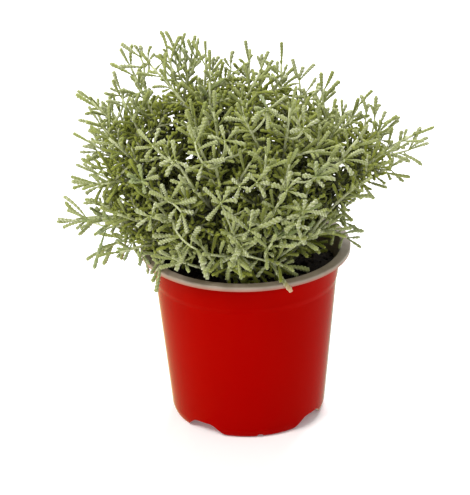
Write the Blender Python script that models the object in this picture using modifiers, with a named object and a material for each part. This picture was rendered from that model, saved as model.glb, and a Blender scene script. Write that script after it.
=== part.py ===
"""A cotton lavender in its thin plastic grower's pot.

The pot is a turned shell with four drainage channels under its floor. The soil fills it, and
the leafy stems stand in plain holes in the soil. Metres, +Z up, origin under the middle of
the pot on the surface that it stands on, -Y towards the viewer.
"""

import math
import random

import bmesh
import bpy
import numpy as np
from mathutils import Matrix, Vector

# Pot, a 13 cm grower's pot
RIM_RADIUS = 0.065
POT_HEIGHT = 0.111
RIM_WIDTH = 0.0062
RIM_DEPTH = 0.003
COLLAR_RADIUS = 0.0594
COLLAR_FOOT_RADIUS = 0.0571
COLLAR_DEPTH = 0.0185
STEP_RADIUS = 0.0562
STEP_DEPTH = 0.022
FOOT_RADIUS = 0.0482
# The rounded lower edge: how far in from the foot's radius, and how high
FOOT_ROUNDING = ((0.0, 0.0050), (0.0010, 0.0015), (0.0026, 0.0))
FOOT_SLOPE = 0.0010
FOOT_WIDTH = 0.0090
FOOT_HEIGHT = 0.0073
WALL = 0.0010
POT_SIDES = 48

# Channels under the floor: four, with sloping sides and rounded upper corners
CHANNEL_AZIMUTHS = (-126.5, -36.5, 53.5, 143.5)
CHANNEL_FOOT = 0.0295
CHANNEL_TOP = 0.0135
CHANNEL_CORNER = 0.0025
CORNER_POINTS = 3
# A shallow groove across each foot
GROOVE_AZIMUTHS = (-82, 8, 98, 188)
GROOVE_FOOT = 0.0052
GROOVE_TOP = 0.0024
GROOVE_HEIGHT = 0.0021
DRAIN_RADIUS = 0.0035
DRAIN_CIRCLE = 0.026
DRAINS = 4

# Soil
SOIL_TOP = 0.098
SOIL_EDGE_DROP = 0.0015
SOIL_FLAT_RADIUS = 0.044
CLEARANCE = 0.0003
SOIL_SIDES = 24
STEM_DEPTH = 0.020

# Crown: how far the leaf tips reach from the middle of the soil, by direction
STEMS = 30
CROWN_RADII = np.array((0.106, 0.098, 0.146))
CROWN_CENTRE = np.array((0.0, 0.0, SOIL_TOP))
# Fuller places: azimuth and elevation in degrees, extra reach, width in degrees
CROWN_LOBES = (
    (180, 60, 0.026, 20),
    (180, 36, 0.018, 22),
    (2, 40, 0.020, 15),
    (-90, 32, 0.004, 30),
)
# Shoots that break the outline: azimuth, elevation, reach
LONG_SHOOTS = (
    (188, 20, 0.1235),
    (2, 38, 0.1435),
    (-6, 36, 0.124),
    (12, 53, 0.132),
    (172, 62, 0.157),
    (150, 73, 0.149),
    (-70, 21, 0.080),
    (-112, 19, 0.062),
    (-35, 30, 0.088),
    (178, 41, 0.135),
)
LOWEST_RISE = 0.16
HIGHEST_RISE = 0.997
RISE_POWER = 0.85
FAN_TURN = 0.4
LONG_CLEAR = 12
# Below the skirt's elevation the shoots stay short, so that the rim stays free
SKIRT_ELEVATION = 21
SKIRT_TILT = 15
SKIRT_AZIMUTH = -25
SKIRT_REACH = 0.058
SKIRT_FADE = 8

# Stems: how they rise, lean out and bend aside, as shares of their length
FAN_REACH = (0.95, 1.02)
STEM_LIFTS = (0.26, 0.36)
STEM_FLAT_LIFT = 0.26
STEM_OUT = 0.16
STEM_SWAYS = (0.0, 0.08, -0.08, 0.16, -0.16, 0.24)
STEM_GAP = 0.0015
ROOT_CIRCLE = 0.030
ROOT_SPACING = 0.0052
STEM_PIECES = 5
STEM_RADII = (0.0012, 0.0012, 0.0015, 0.0018, 0.0018, 0.0009)

# Side shoots: where they leave the stem, how they lean and how far they reach
SHOOT_PIECES = 2
SHOOT_RADII = (0.0010, 0.0018, 0.0009)
SIDE_SHOOTS = (3, 4)
SIDE_LEAN = 12
INNER_LEAN = 20
INNER_SHARE = 0.62
INNER_REACH = 0.055
INNER_START = 0.76
FIRST_START = 0.60
NEXT_START = 0.09
START_SPREAD = 0.04
SHOOT_TRIES = 10
SHOOT_ALONG = 0.34
SHOOT_AWAY = 0.20
SHOOT_REACH = (0.86, 1.0)
LONG_SHARE = 0.92
LEAST_RISE = 0.08
LOW_RISE = 0.25
LOW_SHOOTS = 2
TOP_RISE = 0.93
TIP_MARGIN = 0.013

# Leaves: slender clubs, the last one at the tip nearly straight on
LEAF_LENGTH = 0.0165
LEAF_WIDEST = 0.0018
LEAF_SHOULDER = 0.58
LEAF_SPACING = 0.0050
STEM_LEAVES = 6
SHOOT_LEAVES = 5
LEAF_TRIES = 8
TIP_BACK = 0.0015
LEAVED_SHARE = 0.85
TIP_LEAN = 8
FIRST_LEAN = 28
NEXT_LEAN = 6
MOST_LEAN = 52
SIZE_RANGE = (0.85, 1.15)
YOUNG_SIZE = 0.85
TIGHT_SIZE = 0.8
FREE_SHARE = 0.28
LEAF_GAP = 0.0005
SOIL_GAP = 0.002
SEED = 7

GOLDEN_ANGLE = math.pi * (3 - math.sqrt(5))
UP = np.array((0.0, 0.0, 1.0))

RED = (0.53, 0.004, 0.003)
PEAT = (0.012, 0.009, 0.007)
SAGE = (0.36, 0.42, 0.22)


def clear_scene():
    for item in list(bpy.data.objects):
        bpy.data.objects.remove(item, do_unlink=True)


def new_collection(name):
    group = bpy.data.collections.new(name)
    bpy.context.scene.collection.children.link(group)
    return group


def material(name, colour, roughness):
    made = bpy.data.materials.new(name)
    made.use_nodes = True
    shader = made.node_tree.nodes["Principled BSDF"]
    shader.inputs["Base Color"].default_value = (*colour, 1.0)
    shader.inputs["Roughness"].default_value = roughness
    shader.inputs["Metallic"].default_value = 0.0
    return made


def turned(name, outline, sides, group):
    """A solid turned from an outline of (radius, height), run down its outer side."""
    mesh = bpy.data.meshes.new(name)
    points = [(radius, 0.0, height) for radius, height in outline]
    mesh.from_pydata(points, [(k, k + 1) for k in range(len(points) - 1)], [])
    made = bpy.data.objects.new(name, mesh)
    group.objects.link(made)
    screw = made.modifiers.new("turn", "SCREW")
    screw.axis = "Z"
    screw.steps = sides
    screw.render_steps = sides
    screw.use_merge_vertices = True
    screw.merge_threshold = 0.00001
    return made


def as_cutter(cutter):
    cutter.hide_render = True
    cutter.display_type = "WIRE"
    return cutter


def cut(target, cutter, title):
    step = target.modifiers.new(title, "BOOLEAN")
    step.operation = "DIFFERENCE"
    step.solver = "EXACT"
    step.object = cutter
    return step


def settle(made):
    """Turns an object's modifiers into its mesh."""
    bpy.context.view_layer.update()
    graph = bpy.context.evaluated_depsgraph_get()
    mesh = bpy.data.meshes.new_from_object(made.evaluated_get(graph))
    old = made.data
    made.modifiers.clear()
    made.data = mesh
    mesh.name = made.name
    if old.users == 0:
        bpy.data.meshes.remove(old)
    return made


def shade(made, angle):
    made.data.shade_smooth()
    made.data.set_sharp_from_angle(angle=math.radians(angle))


# Pot

def pot_outside():
    lip = POT_HEIGHT - RIM_DEPTH
    return (
        (0.0, POT_HEIGHT),
        (RIM_RADIUS, POT_HEIGHT),
        (RIM_RADIUS, lip),
        (COLLAR_RADIUS, lip),
        (COLLAR_FOOT_RADIUS, POT_HEIGHT - COLLAR_DEPTH),
        (STEP_RADIUS, POT_HEIGHT - STEP_DEPTH),
        *((FOOT_RADIUS - inward, height) for inward, height in FOOT_ROUNDING),
        (FOOT_RADIUS - FOOT_WIDTH, 0.0),
        (FOOT_RADIUS - FOOT_WIDTH - FOOT_SLOPE, FOOT_HEIGHT),
        (0.0, FOOT_HEIGHT),
    )


def pot_inside():
    riser = FOOT_RADIUS - FOOT_WIDTH
    start, middle, end = FOOT_ROUNDING
    return (
        (0.0, POT_HEIGHT + RIM_DEPTH),
        (RIM_RADIUS - RIM_WIDTH + WALL / 2, POT_HEIGHT + RIM_DEPTH),
        (RIM_RADIUS - RIM_WIDTH, POT_HEIGHT),
        (COLLAR_FOOT_RADIUS - WALL, POT_HEIGHT - COLLAR_DEPTH),
        (STEP_RADIUS - WALL, POT_HEIGHT - STEP_DEPTH),
        (FOOT_RADIUS - WALL, start[1]),
        (FOOT_RADIUS - middle[0] - WALL * 0.9, middle[1] + WALL * 0.4),
        (FOOT_RADIUS - end[0] - WALL * 0.3, WALL),
        (riser + WALL, WALL),
        (riser - FOOT_SLOPE + WALL, FOOT_HEIGHT + WALL),
        (0.0, FOOT_HEIGHT + WALL),
    )


def arch(foot, head, top, corner, grown):
    """Half an arch's section, from below its foot up to its flat head, as (across, height)."""
    slope = (foot - head) / 2 / top
    aside = grown * math.sqrt(1 + slope * slope)
    low = (foot / 2 + slope * 0.002 + aside, -0.002)
    edge = (head / 2 + aside - grown * slope, top + grown)
    side = math.hypot(slope, 1)
    start = (edge[0] + corner * slope / side, edge[1] - corner / side)
    end = (edge[0] - corner, edge[1])
    outline = [low]
    for step in range(CORNER_POINTS):
        t = step / (CORNER_POINTS - 1)
        shares = ((1 - t) ** 2, 2 * t * (1 - t), t * t)
        across = sum(share * point[0] for share, point in zip(shares, (start, edge, end)))
        height = sum(share * point[1] for share, point in zip(shares, (start, edge, end)))
        outline.append((across, height))
    return outline


def tunnel(name, azimuth, half, group):
    """An arch pushed outward under the floor, from inside the foot ring to past the wall."""
    outline = half + [(-across, height) for across, height in reversed(half)]
    inner = FOOT_RADIUS - FOOT_WIDTH - 0.006
    outer = FOOT_RADIUS + 0.006
    made_mesh = bmesh.new()
    face = made_mesh.faces.new([made_mesh.verts.new((inner, y, z)) for y, z in outline])
    pushed = bmesh.ops.extrude_face_region(made_mesh, geom=[face])
    moved = [item for item in pushed["geom"] if isinstance(item, bmesh.types.BMVert)]
    bmesh.ops.translate(made_mesh, verts=moved, vec=(outer - inner, 0, 0))
    bmesh.ops.recalc_face_normals(made_mesh, faces=made_mesh.faces)
    mesh = bpy.data.meshes.new(name)
    made_mesh.to_mesh(mesh)
    made_mesh.free()
    made = bpy.data.objects.new(name, mesh)
    made.rotation_euler = (0, 0, math.radians(azimuth))
    group.objects.link(made)
    return as_cutter(made)


def channel(name, azimuth, grown, group):
    top = FOOT_HEIGHT - 0.0001
    half = arch(CHANNEL_FOOT, CHANNEL_TOP, top, CHANNEL_CORNER, grown)
    return tunnel(name, azimuth, half, group)


def groove(name, azimuth, grown, group):
    half = arch(GROOVE_FOOT, GROOVE_TOP, GROOVE_HEIGHT, GROOVE_HEIGHT / 4, grown)
    return tunnel(name, azimuth, half, group)


def drain(name, azimuth, group):
    angle = math.radians(azimuth)
    outline = (
        (0.0, FOOT_HEIGHT + WALL + 0.002),
        (DRAIN_RADIUS, FOOT_HEIGHT + WALL + 0.002),
        (DRAIN_RADIUS, FOOT_HEIGHT - 0.002),
        (0.0, FOOT_HEIGHT - 0.002),
    )
    made = turned(name, outline, 12, group)
    made.location = (DRAIN_CIRCLE * math.cos(angle), DRAIN_CIRCLE * math.sin(angle), 0)
    return as_cutter(made)


def make_pot(parts, cutters):
    pot = turned("pot", pot_outside(), POT_SIDES, parts)
    hollow = as_cutter(turned("pot_hollow", pot_inside(), POT_SIDES, cutters))
    for number, azimuth in enumerate(CHANNEL_AZIMUTHS):
        cut(hollow, channel(f"channel_roof_{number}", azimuth, WALL, cutters), "channel roof")
        cut(pot, channel(f"channel_{number}", azimuth, 0.0, cutters), "channel")
    for number, azimuth in enumerate(GROOVE_AZIMUTHS):
        cut(hollow, groove(f"groove_roof_{number}", azimuth, WALL, cutters), "groove roof")
        cut(pot, groove(f"groove_{number}", azimuth, 0.0, cutters), "groove")
    cut(pot, hollow, "hollow")
    for number in range(DRAINS):
        azimuth = GROOVE_AZIMUTHS[0] + number * 360 / DRAINS
        cut(pot, drain(f"drain_{number}", azimuth, cutters), "drain")
    settle(pot)
    pot.data.materials.append(material("pot red", RED, 0.22))
    shade(pot, 35)
    return pot


# How the plant grows

def unit(vector):
    return vector / np.linalg.norm(vector)


def bearing(azimuth, elevation):
    a = math.radians(azimuth)
    e = math.radians(elevation)
    return np.array((math.cos(a) * math.cos(e), math.sin(a) * math.cos(e), math.sin(e)))


def leaned(direction, lean, roll):
    """A direction tipped by an angle, towards a roll about itself."""
    side = unit(np.cross(direction, (0.31, 0.94, 0.17)))
    other = np.cross(direction, side)
    around = side * math.cos(roll) + other * math.sin(roll)
    return direction * math.cos(lean) + around * math.sin(lean)


def skirt_share(direction):
    """0 for directions under the crown's skirt, 1 above it."""
    elevation = math.degrees(math.asin(min(1.0, direction[2])))
    azimuth = math.atan2(direction[1], direction[0])
    skirt = SKIRT_ELEVATION + SKIRT_TILT * math.cos(azimuth - math.radians(SKIRT_AZIMUTH))
    return max(0.0, min(1.0, 1 - (skirt - elevation) / SKIRT_FADE))


def crown_reach(direction):
    reach = 1 / np.linalg.norm(direction / CROWN_RADII)
    for azimuth, elevation, extra, width in CROWN_LOBES:
        cosine = float(direction @ bearing(azimuth, elevation))
        apart = math.degrees(math.acos(max(-1.0, min(1.0, cosine))))
        reach += extra * math.exp(-((apart / width) ** 2))
    return SKIRT_REACH + (reach - SKIRT_REACH) * skirt_share(direction)


def curve_through(start, control, end, pieces):
    t = np.linspace(0, 1, pieces + 1)[:, None]
    return (1 - t) ** 2 * start + 2 * t * (1 - t) * control + t ** 2 * end


def path_length(path):
    return float(np.linalg.norm(np.diff(path, axis=0), axis=1).sum())


def along(path, back):
    """The point and the direction at a distance back from a path's tip."""
    for k in range(len(path) - 1, 0, -1):
        piece = path[k] - path[k - 1]
        length = np.linalg.norm(piece)
        if back <= length or k == 1:
            return path[k] - piece / length * min(back, length), piece / length
        back -= length


def distances(start, end, starts, ends):
    """Least distance from one straight piece to each of many."""
    own = end - start
    theirs = ends - starts
    between = start - starts
    own_square = own @ own
    their_square = np.einsum("ij,ij->i", theirs, theirs)
    their_between = np.einsum("ij,ij->i", theirs, between)
    own_between = between @ own
    both = theirs @ own
    spread = own_square * their_square - both * both
    flat = spread < 1e-18
    s = np.clip((both * their_between - own_between * their_square) / np.where(flat, 1, spread), 0, 1)
    s = np.where(flat, 0.0, s)
    t = np.clip((both * s + their_between) / their_square, 0, 1)
    s = np.clip((t * both - own_between) / own_square, 0, 1)
    gap = (start + s[:, None] * own) - (starts + t[:, None] * theirs)
    return np.linalg.norm(gap, axis=1)


class TakenSpace:
    """The straight pieces grown so far, as round rods with their stem and shoot numbers."""

    def __init__(self):
        self.starts = np.zeros((0, 3))
        self.ends = np.zeros((0, 3))
        self.radii = np.zeros(0)
        self.stems = np.zeros(0, int)
        self.shoots = np.zeros(0, int)

    def fill(self, path, radii, stem, shoot):
        pieces = len(path) - 1
        self.starts = np.vstack([self.starts, path[:-1]])
        self.ends = np.vstack([self.ends, path[1:]])
        self.radii = np.append(self.radii, np.maximum(radii[:-1], radii[1:]))
        self.stems = np.append(self.stems, np.full(pieces, stem))
        self.shoots = np.append(self.shoots, np.full(pieces, shoot))

    def room(self, start, end, radius, stem, shoot):
        """Least gap to the other stems, and to this stem's own other shoots and leaves."""
        if not len(self.starts):
            return 1.0, 1.0
        free = distances(start, end, self.starts, self.ends) - self.radii - radius
        others = free[self.stems != stem]
        own = free[(self.stems == stem) & (self.shoots != shoot)]
        return float(others.min(initial=1.0)), float(own.min(initial=1.0))


def pot_room(points, radius):
    """Least gap from a row of points to the pot's rim and to the soil."""
    across = np.hypot(points[:, 0], points[:, 1])
    heights = points[:, 2]
    soil_edge = STEP_RADIUS - WALL
    beside = np.maximum(np.maximum(soil_edge - across, across - RIM_RADIUS), 0)
    above = np.maximum(heights - POT_HEIGHT, 0)
    rim = np.hypot(beside, above)
    soil = np.where(across < soil_edge, heights - (SOIL_TOP + SOIL_GAP), 1.0)
    return float(min(rim.min(), soil.min())) - radius


def fan(spread):
    """Directions spread evenly over the crown, a little closer near the top."""
    for k in range(spread):
        share = (k + 0.5) / spread
        rise = LOWEST_RISE + (HIGHEST_RISE - LOWEST_RISE) * share ** RISE_POWER
        flat = math.sqrt(1 - rise * rise)
        azimuth = (k + 1) * GOLDEN_ANGLE + FAN_TURN
        yield np.array((math.cos(azimuth) * flat, math.sin(azimuth) * flat, rise))


def crown_directions():
    """Each stem's direction and reach: first the long shoots, then the even fan between them."""
    long_ones = [(bearing(azimuth, elevation), reach) for azimuth, elevation, reach in LONG_SHOOTS]
    wanted = STEMS - len(long_ones)
    closest = math.cos(math.radians(LONG_CLEAR))
    for spread in range(wanted, 2 * STEMS):
        others = []
        for direction in fan(spread):
            if max(float(direction @ taken) for taken, _ in long_ones) < closest:
                others.append((direction, crown_reach(direction)))
        if len(others) >= wanted:
            return long_ones + others[:wanted]


def free_root(direction, taken):
    """A place on the soil under a stem's direction, away from the other stems' roots."""
    flat = math.hypot(direction[0], direction[1])
    azimuth = math.atan2(direction[1], direction[0])
    best = None
    for circle in (1.0, 0.8, 1.15, 0.6):
        for turn in (0.0, 0.25, -0.25, 0.5, -0.5, 0.75):
            angle = azimuth + turn
            radius = ROOT_CIRCLE * flat ** 0.8 * circle
            root = CROWN_CENTRE + np.array((math.cos(angle), math.sin(angle), 0)) * radius
            room = min((float(np.linalg.norm(root - other)) for other in taken), default=1.0)
            if best is None or room > best[0]:
                best = (room, root)
            if room >= ROOT_SPACING:
                return root
    return best[1]


def grow_stem(number, direction, reach, root, space):
    """A stem rises from its root, bends outward and ends under the crown's surface."""
    flat = math.hypot(direction[0], direction[1])
    out = unit(np.array((direction[0], direction[1], 0.0)))
    side = np.cross(UP, out)
    tip = CROWN_CENTRE + direction * (reach - TIP_MARGIN)
    length = float(np.linalg.norm(tip - root))
    best = None
    for lift in STEM_LIFTS:
        for sway in STEM_SWAYS:
            rise = lift + STEM_FLAT_LIFT * flat
            control = root + (UP * rise + out * STEM_OUT + side * sway) * length
            path = curve_through(root, control, tip, STEM_PIECES)
            room = pot_room(path[2:], max(STEM_RADII))
            for k in range(STEM_PIECES):
                room = min(room, space.room(path[k], path[k + 1], max(STEM_RADII), number, -1)[0])
            if best is None or room > best[0]:
                best = (room, path)
            if room > STEM_GAP:
                return path
    return best[1]


def shoots_wanted(stem):
    rise = stem["direction"][2]
    fewest, most = SIDE_SHOOTS
    if rise < LOW_RISE and not stem["long"]:
        return LOW_SHOOTS
    return round(fewest + (most - fewest) * rise ** 1.5)


def grow_side_shoot(stem, number, turn, inner, space, draw):
    """A side shoot that leaves its stem part of the way up, or None where there is no room."""
    path = stem["path"]
    for attempt in range(SHOOT_TRIES):
        share = INNER_START if inner else FIRST_START - NEXT_START * turn
        share = share + draw.uniform(-START_SPREAD, START_SPREAD)
        start, tangent = along(path, share * path_length(path))
        roll = turn * GOLDEN_ANGLE + number * 1.7 + attempt * 0.35 + draw.uniform(-0.2, 0.2)
        lean = math.radians(INNER_LEAN if inner else SIDE_LEAN) * draw.uniform(0.85, 1.25)
        direction = leaned(stem["direction"], lean, roll)
        if direction[2] < LEAST_RISE:
            continue
        reach = crown_reach(direction)
        if inner:
            reach = max(INNER_REACH, reach * INNER_SHARE)
        elif stem["long"]:
            reach = max(reach, stem["reach"] * LONG_SHARE * skirt_share(direction))
        reach = reach * draw.uniform(*SHOOT_REACH) - TIP_MARGIN
        tip = CROWN_CENTRE + direction * reach
        straight = float(np.linalg.norm(tip - start))
        away = unit(tip - start - tangent * float((tip - start) @ tangent))
        control = start + (tangent * SHOOT_ALONG + away * SHOOT_AWAY) * straight
        shoot = curve_through(start, control, tip, SHOOT_PIECES)
        if pot_room(shoot[1:], max(SHOOT_RADII)) < LEAF_GAP:
            continue
        room = 1.0
        for k in range(SHOOT_PIECES):
            last = k == SHOOT_PIECES - 1
            others, own = space.room(shoot[k], shoot[k + 1], max(SHOOT_RADII), number, -1)
            room = min(room, others, own if last else 1.0)
        if room > LEAF_GAP:
            return shoot
    return None


def grow_leaf(path, back, lean, roll, length, stem, shoot, space):
    """A leaf as its root and tip, or None where it would cross something."""
    root, tangent = along(path, back)
    axis = leaned(tangent, lean, roll)
    tip = root + axis * length
    rod = root + np.linspace(FREE_SHARE, 1, 5)[:, None] * (tip - root)
    if pot_room(rod, LEAF_WIDEST) < LEAF_GAP:
        return None
    others = space.room(root, tip, LEAF_WIDEST, stem, shoot)[0]
    own = space.room(root + axis * length * FREE_SHARE, tip, LEAF_WIDEST, stem, shoot)[1]
    if others > LEAF_GAP and own > LEAF_GAP / 5:
        return root, tip
    return None


def grow_leaves(stem, number, space, draw):
    """Leaves up each shoot, each a golden angle round from the last, crowded at the tip."""
    for order, path in enumerate([stem["path"]] + stem["shoots"]):
        count = SHOOT_LEAVES if order else STEM_LEAVES
        shoot = number * 100 + order
        phase = draw.uniform(0, 2 * math.pi)
        for k in range(count):
            back = TIP_BACK + max(0, k - 1) * LEAF_SPACING
            if k:
                back = back + draw.uniform(0, LEAF_SPACING * 0.4)
            if back > path_length(path) * LEAVED_SHARE:
                break
            lean = min(FIRST_LEAN + NEXT_LEAN * k, MOST_LEAN) if k else TIP_LEAN
            lean = math.radians(lean) * draw.uniform(*SIZE_RANGE)
            length = LEAF_LENGTH * (YOUNG_SIZE if k < 2 else 1.0) * draw.uniform(*SIZE_RANGE)
            for attempt in range(LEAF_TRIES):
                roll = phase + k * GOLDEN_ANGLE + attempt * 0.6
                size = length * (TIGHT_SIZE if attempt > LEAF_TRIES // 2 else 1.0)
                leaf = grow_leaf(path, back, lean, roll, size, number, shoot, space)
                if leaf:
                    root, tip = leaf
                    stem["leaves"].append(leaf)
                    free = np.array((root + (tip - root) * FREE_SHARE, tip))
                    space.fill(free, np.full(2, LEAF_WIDEST), number, number * 100 + 50 + k + order * 9)
                    break


def grow_plant():
    """Every stem with its path, its side shoots and its leaves, from the one seed."""
    draw = random.Random(SEED)
    space = TakenSpace()
    stems = []
    roots = []
    for number, (direction, reach) in enumerate(crown_directions()):
        long_one = number < len(LONG_SHOOTS)
        if not long_one:
            reach = reach * draw.uniform(*FAN_REACH)
        root = free_root(direction, roots)
        roots.append(root)
        path = grow_stem(number, direction, reach, root, space)
        space.fill(path, np.array(STEM_RADII), number, number * 100)
        stems.append({
            "direction": direction,
            "reach": reach,
            "long": long_one,
            "path": path,
            "shoots": [],
            "leaves": [],
        })
    for turn in range(SIDE_SHOOTS[1] + 1):
        inner = turn == SIDE_SHOOTS[1]
        for number, stem in enumerate(stems):
            if inner and stem["direction"][2] > TOP_RISE:
                continue
            if turn >= shoots_wanted(stem) and not inner:
                continue
            shoot = grow_side_shoot(stem, number, turn, inner, space, draw)
            if shoot is not None:
                stem["shoots"].append(shoot)
                order = len(stem["shoots"])
                space.fill(shoot, np.array(SHOOT_RADII), number, number * 100 + order)
    for number, stem in enumerate(stems):
        grow_leaves(stem, number, space, draw)
    return stems


# Soil

def make_soil(stems, parts, cutters):
    top = SOIL_TOP - SOIL_EDGE_DROP
    bottom = FOOT_HEIGHT + WALL + CLEARANCE
    foot_top = FOOT_ROUNDING[0][1]
    slope = (STEP_RADIUS - FOOT_RADIUS) / (POT_HEIGHT - STEP_DEPTH - foot_top)
    foot = FOOT_RADIUS - WALL + (bottom - foot_top) * slope
    step = POT_HEIGHT - STEP_DEPTH
    collar = POT_HEIGHT - COLLAR_DEPTH
    facet = 1 / math.cos(math.pi / POT_SIDES)
    outline = (
        (0.0, SOIL_TOP),
        (SOIL_FLAT_RADIUS, SOIL_TOP),
        ((COLLAR_FOOT_RADIUS - WALL) / facet - CLEARANCE, top),
        ((COLLAR_FOOT_RADIUS - WALL) / facet - CLEARANCE, collar),
        ((STEP_RADIUS - WALL) / facet - CLEARANCE, step),
        (foot / facet - CLEARANCE, bottom),
        (0.0, bottom),
    )
    soil = turned("soil", outline, SOIL_SIDES, parts)
    hole_radius = (max(STEM_RADII[:2]) + CLEARANCE) / math.cos(math.pi / 4)
    hole_outline = (
        (0.0, SOIL_TOP + 0.002),
        (hole_radius, SOIL_TOP + 0.002),
        (hole_radius, SOIL_TOP - STEM_DEPTH - CLEARANCE),
        (0.0, SOIL_TOP - STEM_DEPTH - CLEARANCE),
    )
    for number, stem in enumerate(stems):
        hole = as_cutter(turned(f"root_hole_{number + 1:02d}", hole_outline, 4, cutters))
        hole.location = Vector(stem["path"][0]) * Vector((1, 1, 0))
        cut(soil, hole, "root hole")
    settle(soil)
    soil.data.materials.append(material("dark peat", PEAT, 0.95))
    shade(soil, 40)
    return soil


# Leafy stems

def triangle_profile(group):
    """The three-cornered section that the side shoots are swept with."""
    shape = bpy.data.curves.new("shoot_section", "CURVE")
    shape.dimensions = "2D"
    line = shape.splines.new("POLY")
    line.points.add(2)
    for k, point in enumerate(line.points):
        angle = math.radians(120 * k + 90)
        point.co = (math.cos(angle), math.sin(angle), 0, 1)
    line.use_cyclic_u = True
    made = bpy.data.objects.new("shoot_section", shape)
    group.objects.link(made)
    return as_cutter(made)


def swept(name, path, radii, section, group):
    """A rod along a path with a radius at each point, four-sided unless it has a section."""
    shape = bpy.data.curves.new(name, "CURVE")
    shape.dimensions = "3D"
    shape.use_fill_caps = True
    if section:
        shape.bevel_mode = "OBJECT"
        shape.bevel_object = section
    else:
        shape.bevel_depth = 1.0
        shape.bevel_resolution = 0
    line = shape.splines.new("POLY")
    line.points.add(len(path) - 1)
    for point, place, radius in zip(line.points, path, radii):
        point.co = (*place, 1)
        point.radius = radius
    made = bpy.data.objects.new(name, shape)
    group.objects.link(made)
    return made


def curve_to_mesh(made, group):
    """Replaces a curve object by a closed mesh of the same shape."""
    graph = bpy.context.evaluated_depsgraph_get()
    mesh = bpy.data.meshes.new_from_object(made.evaluated_get(graph))
    welded = bmesh.new()
    welded.from_mesh(mesh)
    bmesh.ops.remove_doubles(welded, verts=welded.verts, dist=0.000001)
    bmesh.ops.recalc_face_normals(welded, faces=welded.faces)
    welded.to_mesh(mesh)
    welded.free()
    name = made.name
    shape = made.data
    bpy.data.objects.remove(made)
    bpy.data.curves.remove(shape)
    solid = bpy.data.objects.new(name, mesh)
    group.objects.link(solid)
    return solid


def leaf_blank(group):
    """The leaf that all copies share: a three-sided club of unit length along +Z."""
    outline = (
        (0.0, 1.0),
        (LEAF_WIDEST, LEAF_SHOULDER),
        (0.0, 0.0),
    )
    blank = settle(turned("leaf_blank", outline, 3, group))
    return as_cutter(blank)


def place_leaf(name, blank, root, tip, group):
    made = bpy.data.objects.new(name, blank.data)
    axis = Vector(tip - root)
    turn = axis.to_track_quat("Z", "Y")
    made.matrix_world = Matrix.LocRotScale(Vector(root), turn, Vector((1, 1, axis.length)))
    group.objects.link(made)
    return made


def keep_largest_shell(made):
    """Drops the scraps that a union can leave, and fills the hollows that it can seal."""
    shell = bmesh.new()
    shell.from_mesh(made.data)
    left = set(shell.verts)
    islands = []
    while left:
        stack = [left.pop()]
        island = list(stack)
        while stack:
            for edge in stack.pop().link_edges:
                for vert in edge.verts:
                    if vert in left:
                        left.remove(vert)
                        island.append(vert)
                        stack.append(vert)
        islands.append(island)
    islands.sort(key=len, reverse=True)
    for island in islands[1:]:
        bmesh.ops.delete(shell, geom=island, context="VERTS")
    shell.to_mesh(made.data)
    shell.free()


def make_leafy_stem(number, stem, section, blank, parts, cutters):
    """The stem joined with its side shoots and leaves into one solid."""
    name = f"stem_{number + 1:02d}"
    repeats = new_collection(name + "_repeats")
    foot = stem["path"][0] - UP * STEM_DEPTH
    path = np.vstack([foot, stem["path"]])
    trunk = swept(name, path, (STEM_RADII[0],) + STEM_RADII, None, parts)
    rods = []
    for order, shoot in enumerate(stem["shoots"]):
        rods.append(swept(f"{name}_shoot_{order}", shoot, SHOOT_RADII, section, repeats))
    for order, (root, tip) in enumerate(stem["leaves"]):
        place_leaf(f"{name}_leaf_{order}", blank, root, tip, repeats)
    bpy.context.view_layer.update()
    trunk = curve_to_mesh(trunk, parts)
    for rod in rods:
        curve_to_mesh(rod, repeats)
    join = trunk.modifiers.new("join", "BOOLEAN")
    join.operation = "UNION"
    join.operand_type = "COLLECTION"
    join.collection = repeats
    join.solver = "MANIFOLD"
    settle(trunk)
    for item in list(repeats.objects):
        bpy.data.objects.remove(item, do_unlink=True)
    bpy.data.collections.remove(repeats)
    keep_largest_shell(trunk)
    trunk.data.materials.clear()
    trunk.data.materials.append(material(name + " felt", SAGE, 0.9))
    return trunk


def build():
    clear_scene()
    parts = new_collection("potted_cotton_lavender")
    cutters = new_collection("cutters")
    make_pot(parts, cutters)
    stems = grow_plant()
    make_soil(stems, parts, cutters)
    section = triangle_profile(cutters)
    blank = leaf_blank(cutters)
    for number, stem in enumerate(stems):
        make_leafy_stem(number, stem, section, blank, parts, cutters)
    leaves = sum(len(stem["leaves"]) for stem in stems)
    shoots = sum(len(stem["shoots"]) for stem in stems)
    print(f"{len(stems)} stems, {shoots} side shoots, {leaves} leaves")


build()
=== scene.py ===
# %% [markdown]
# # A cotton lavender in its pot
#
# The object is a small shrub in a thin red grower's pot. Its leaves are short grey-green clubs
# under a felt of hairs, and they crowd the tips of many shoots. The solids of the pot, the soil
# and the stems are loaded first and stay where they are. Everything made below replaces them
# with finer pieces of the same form.

# %% Load the solids
import math
import random

import bmesh
import bpy
import numpy as np
from mathutils import Matrix, Vector, noise


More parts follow.
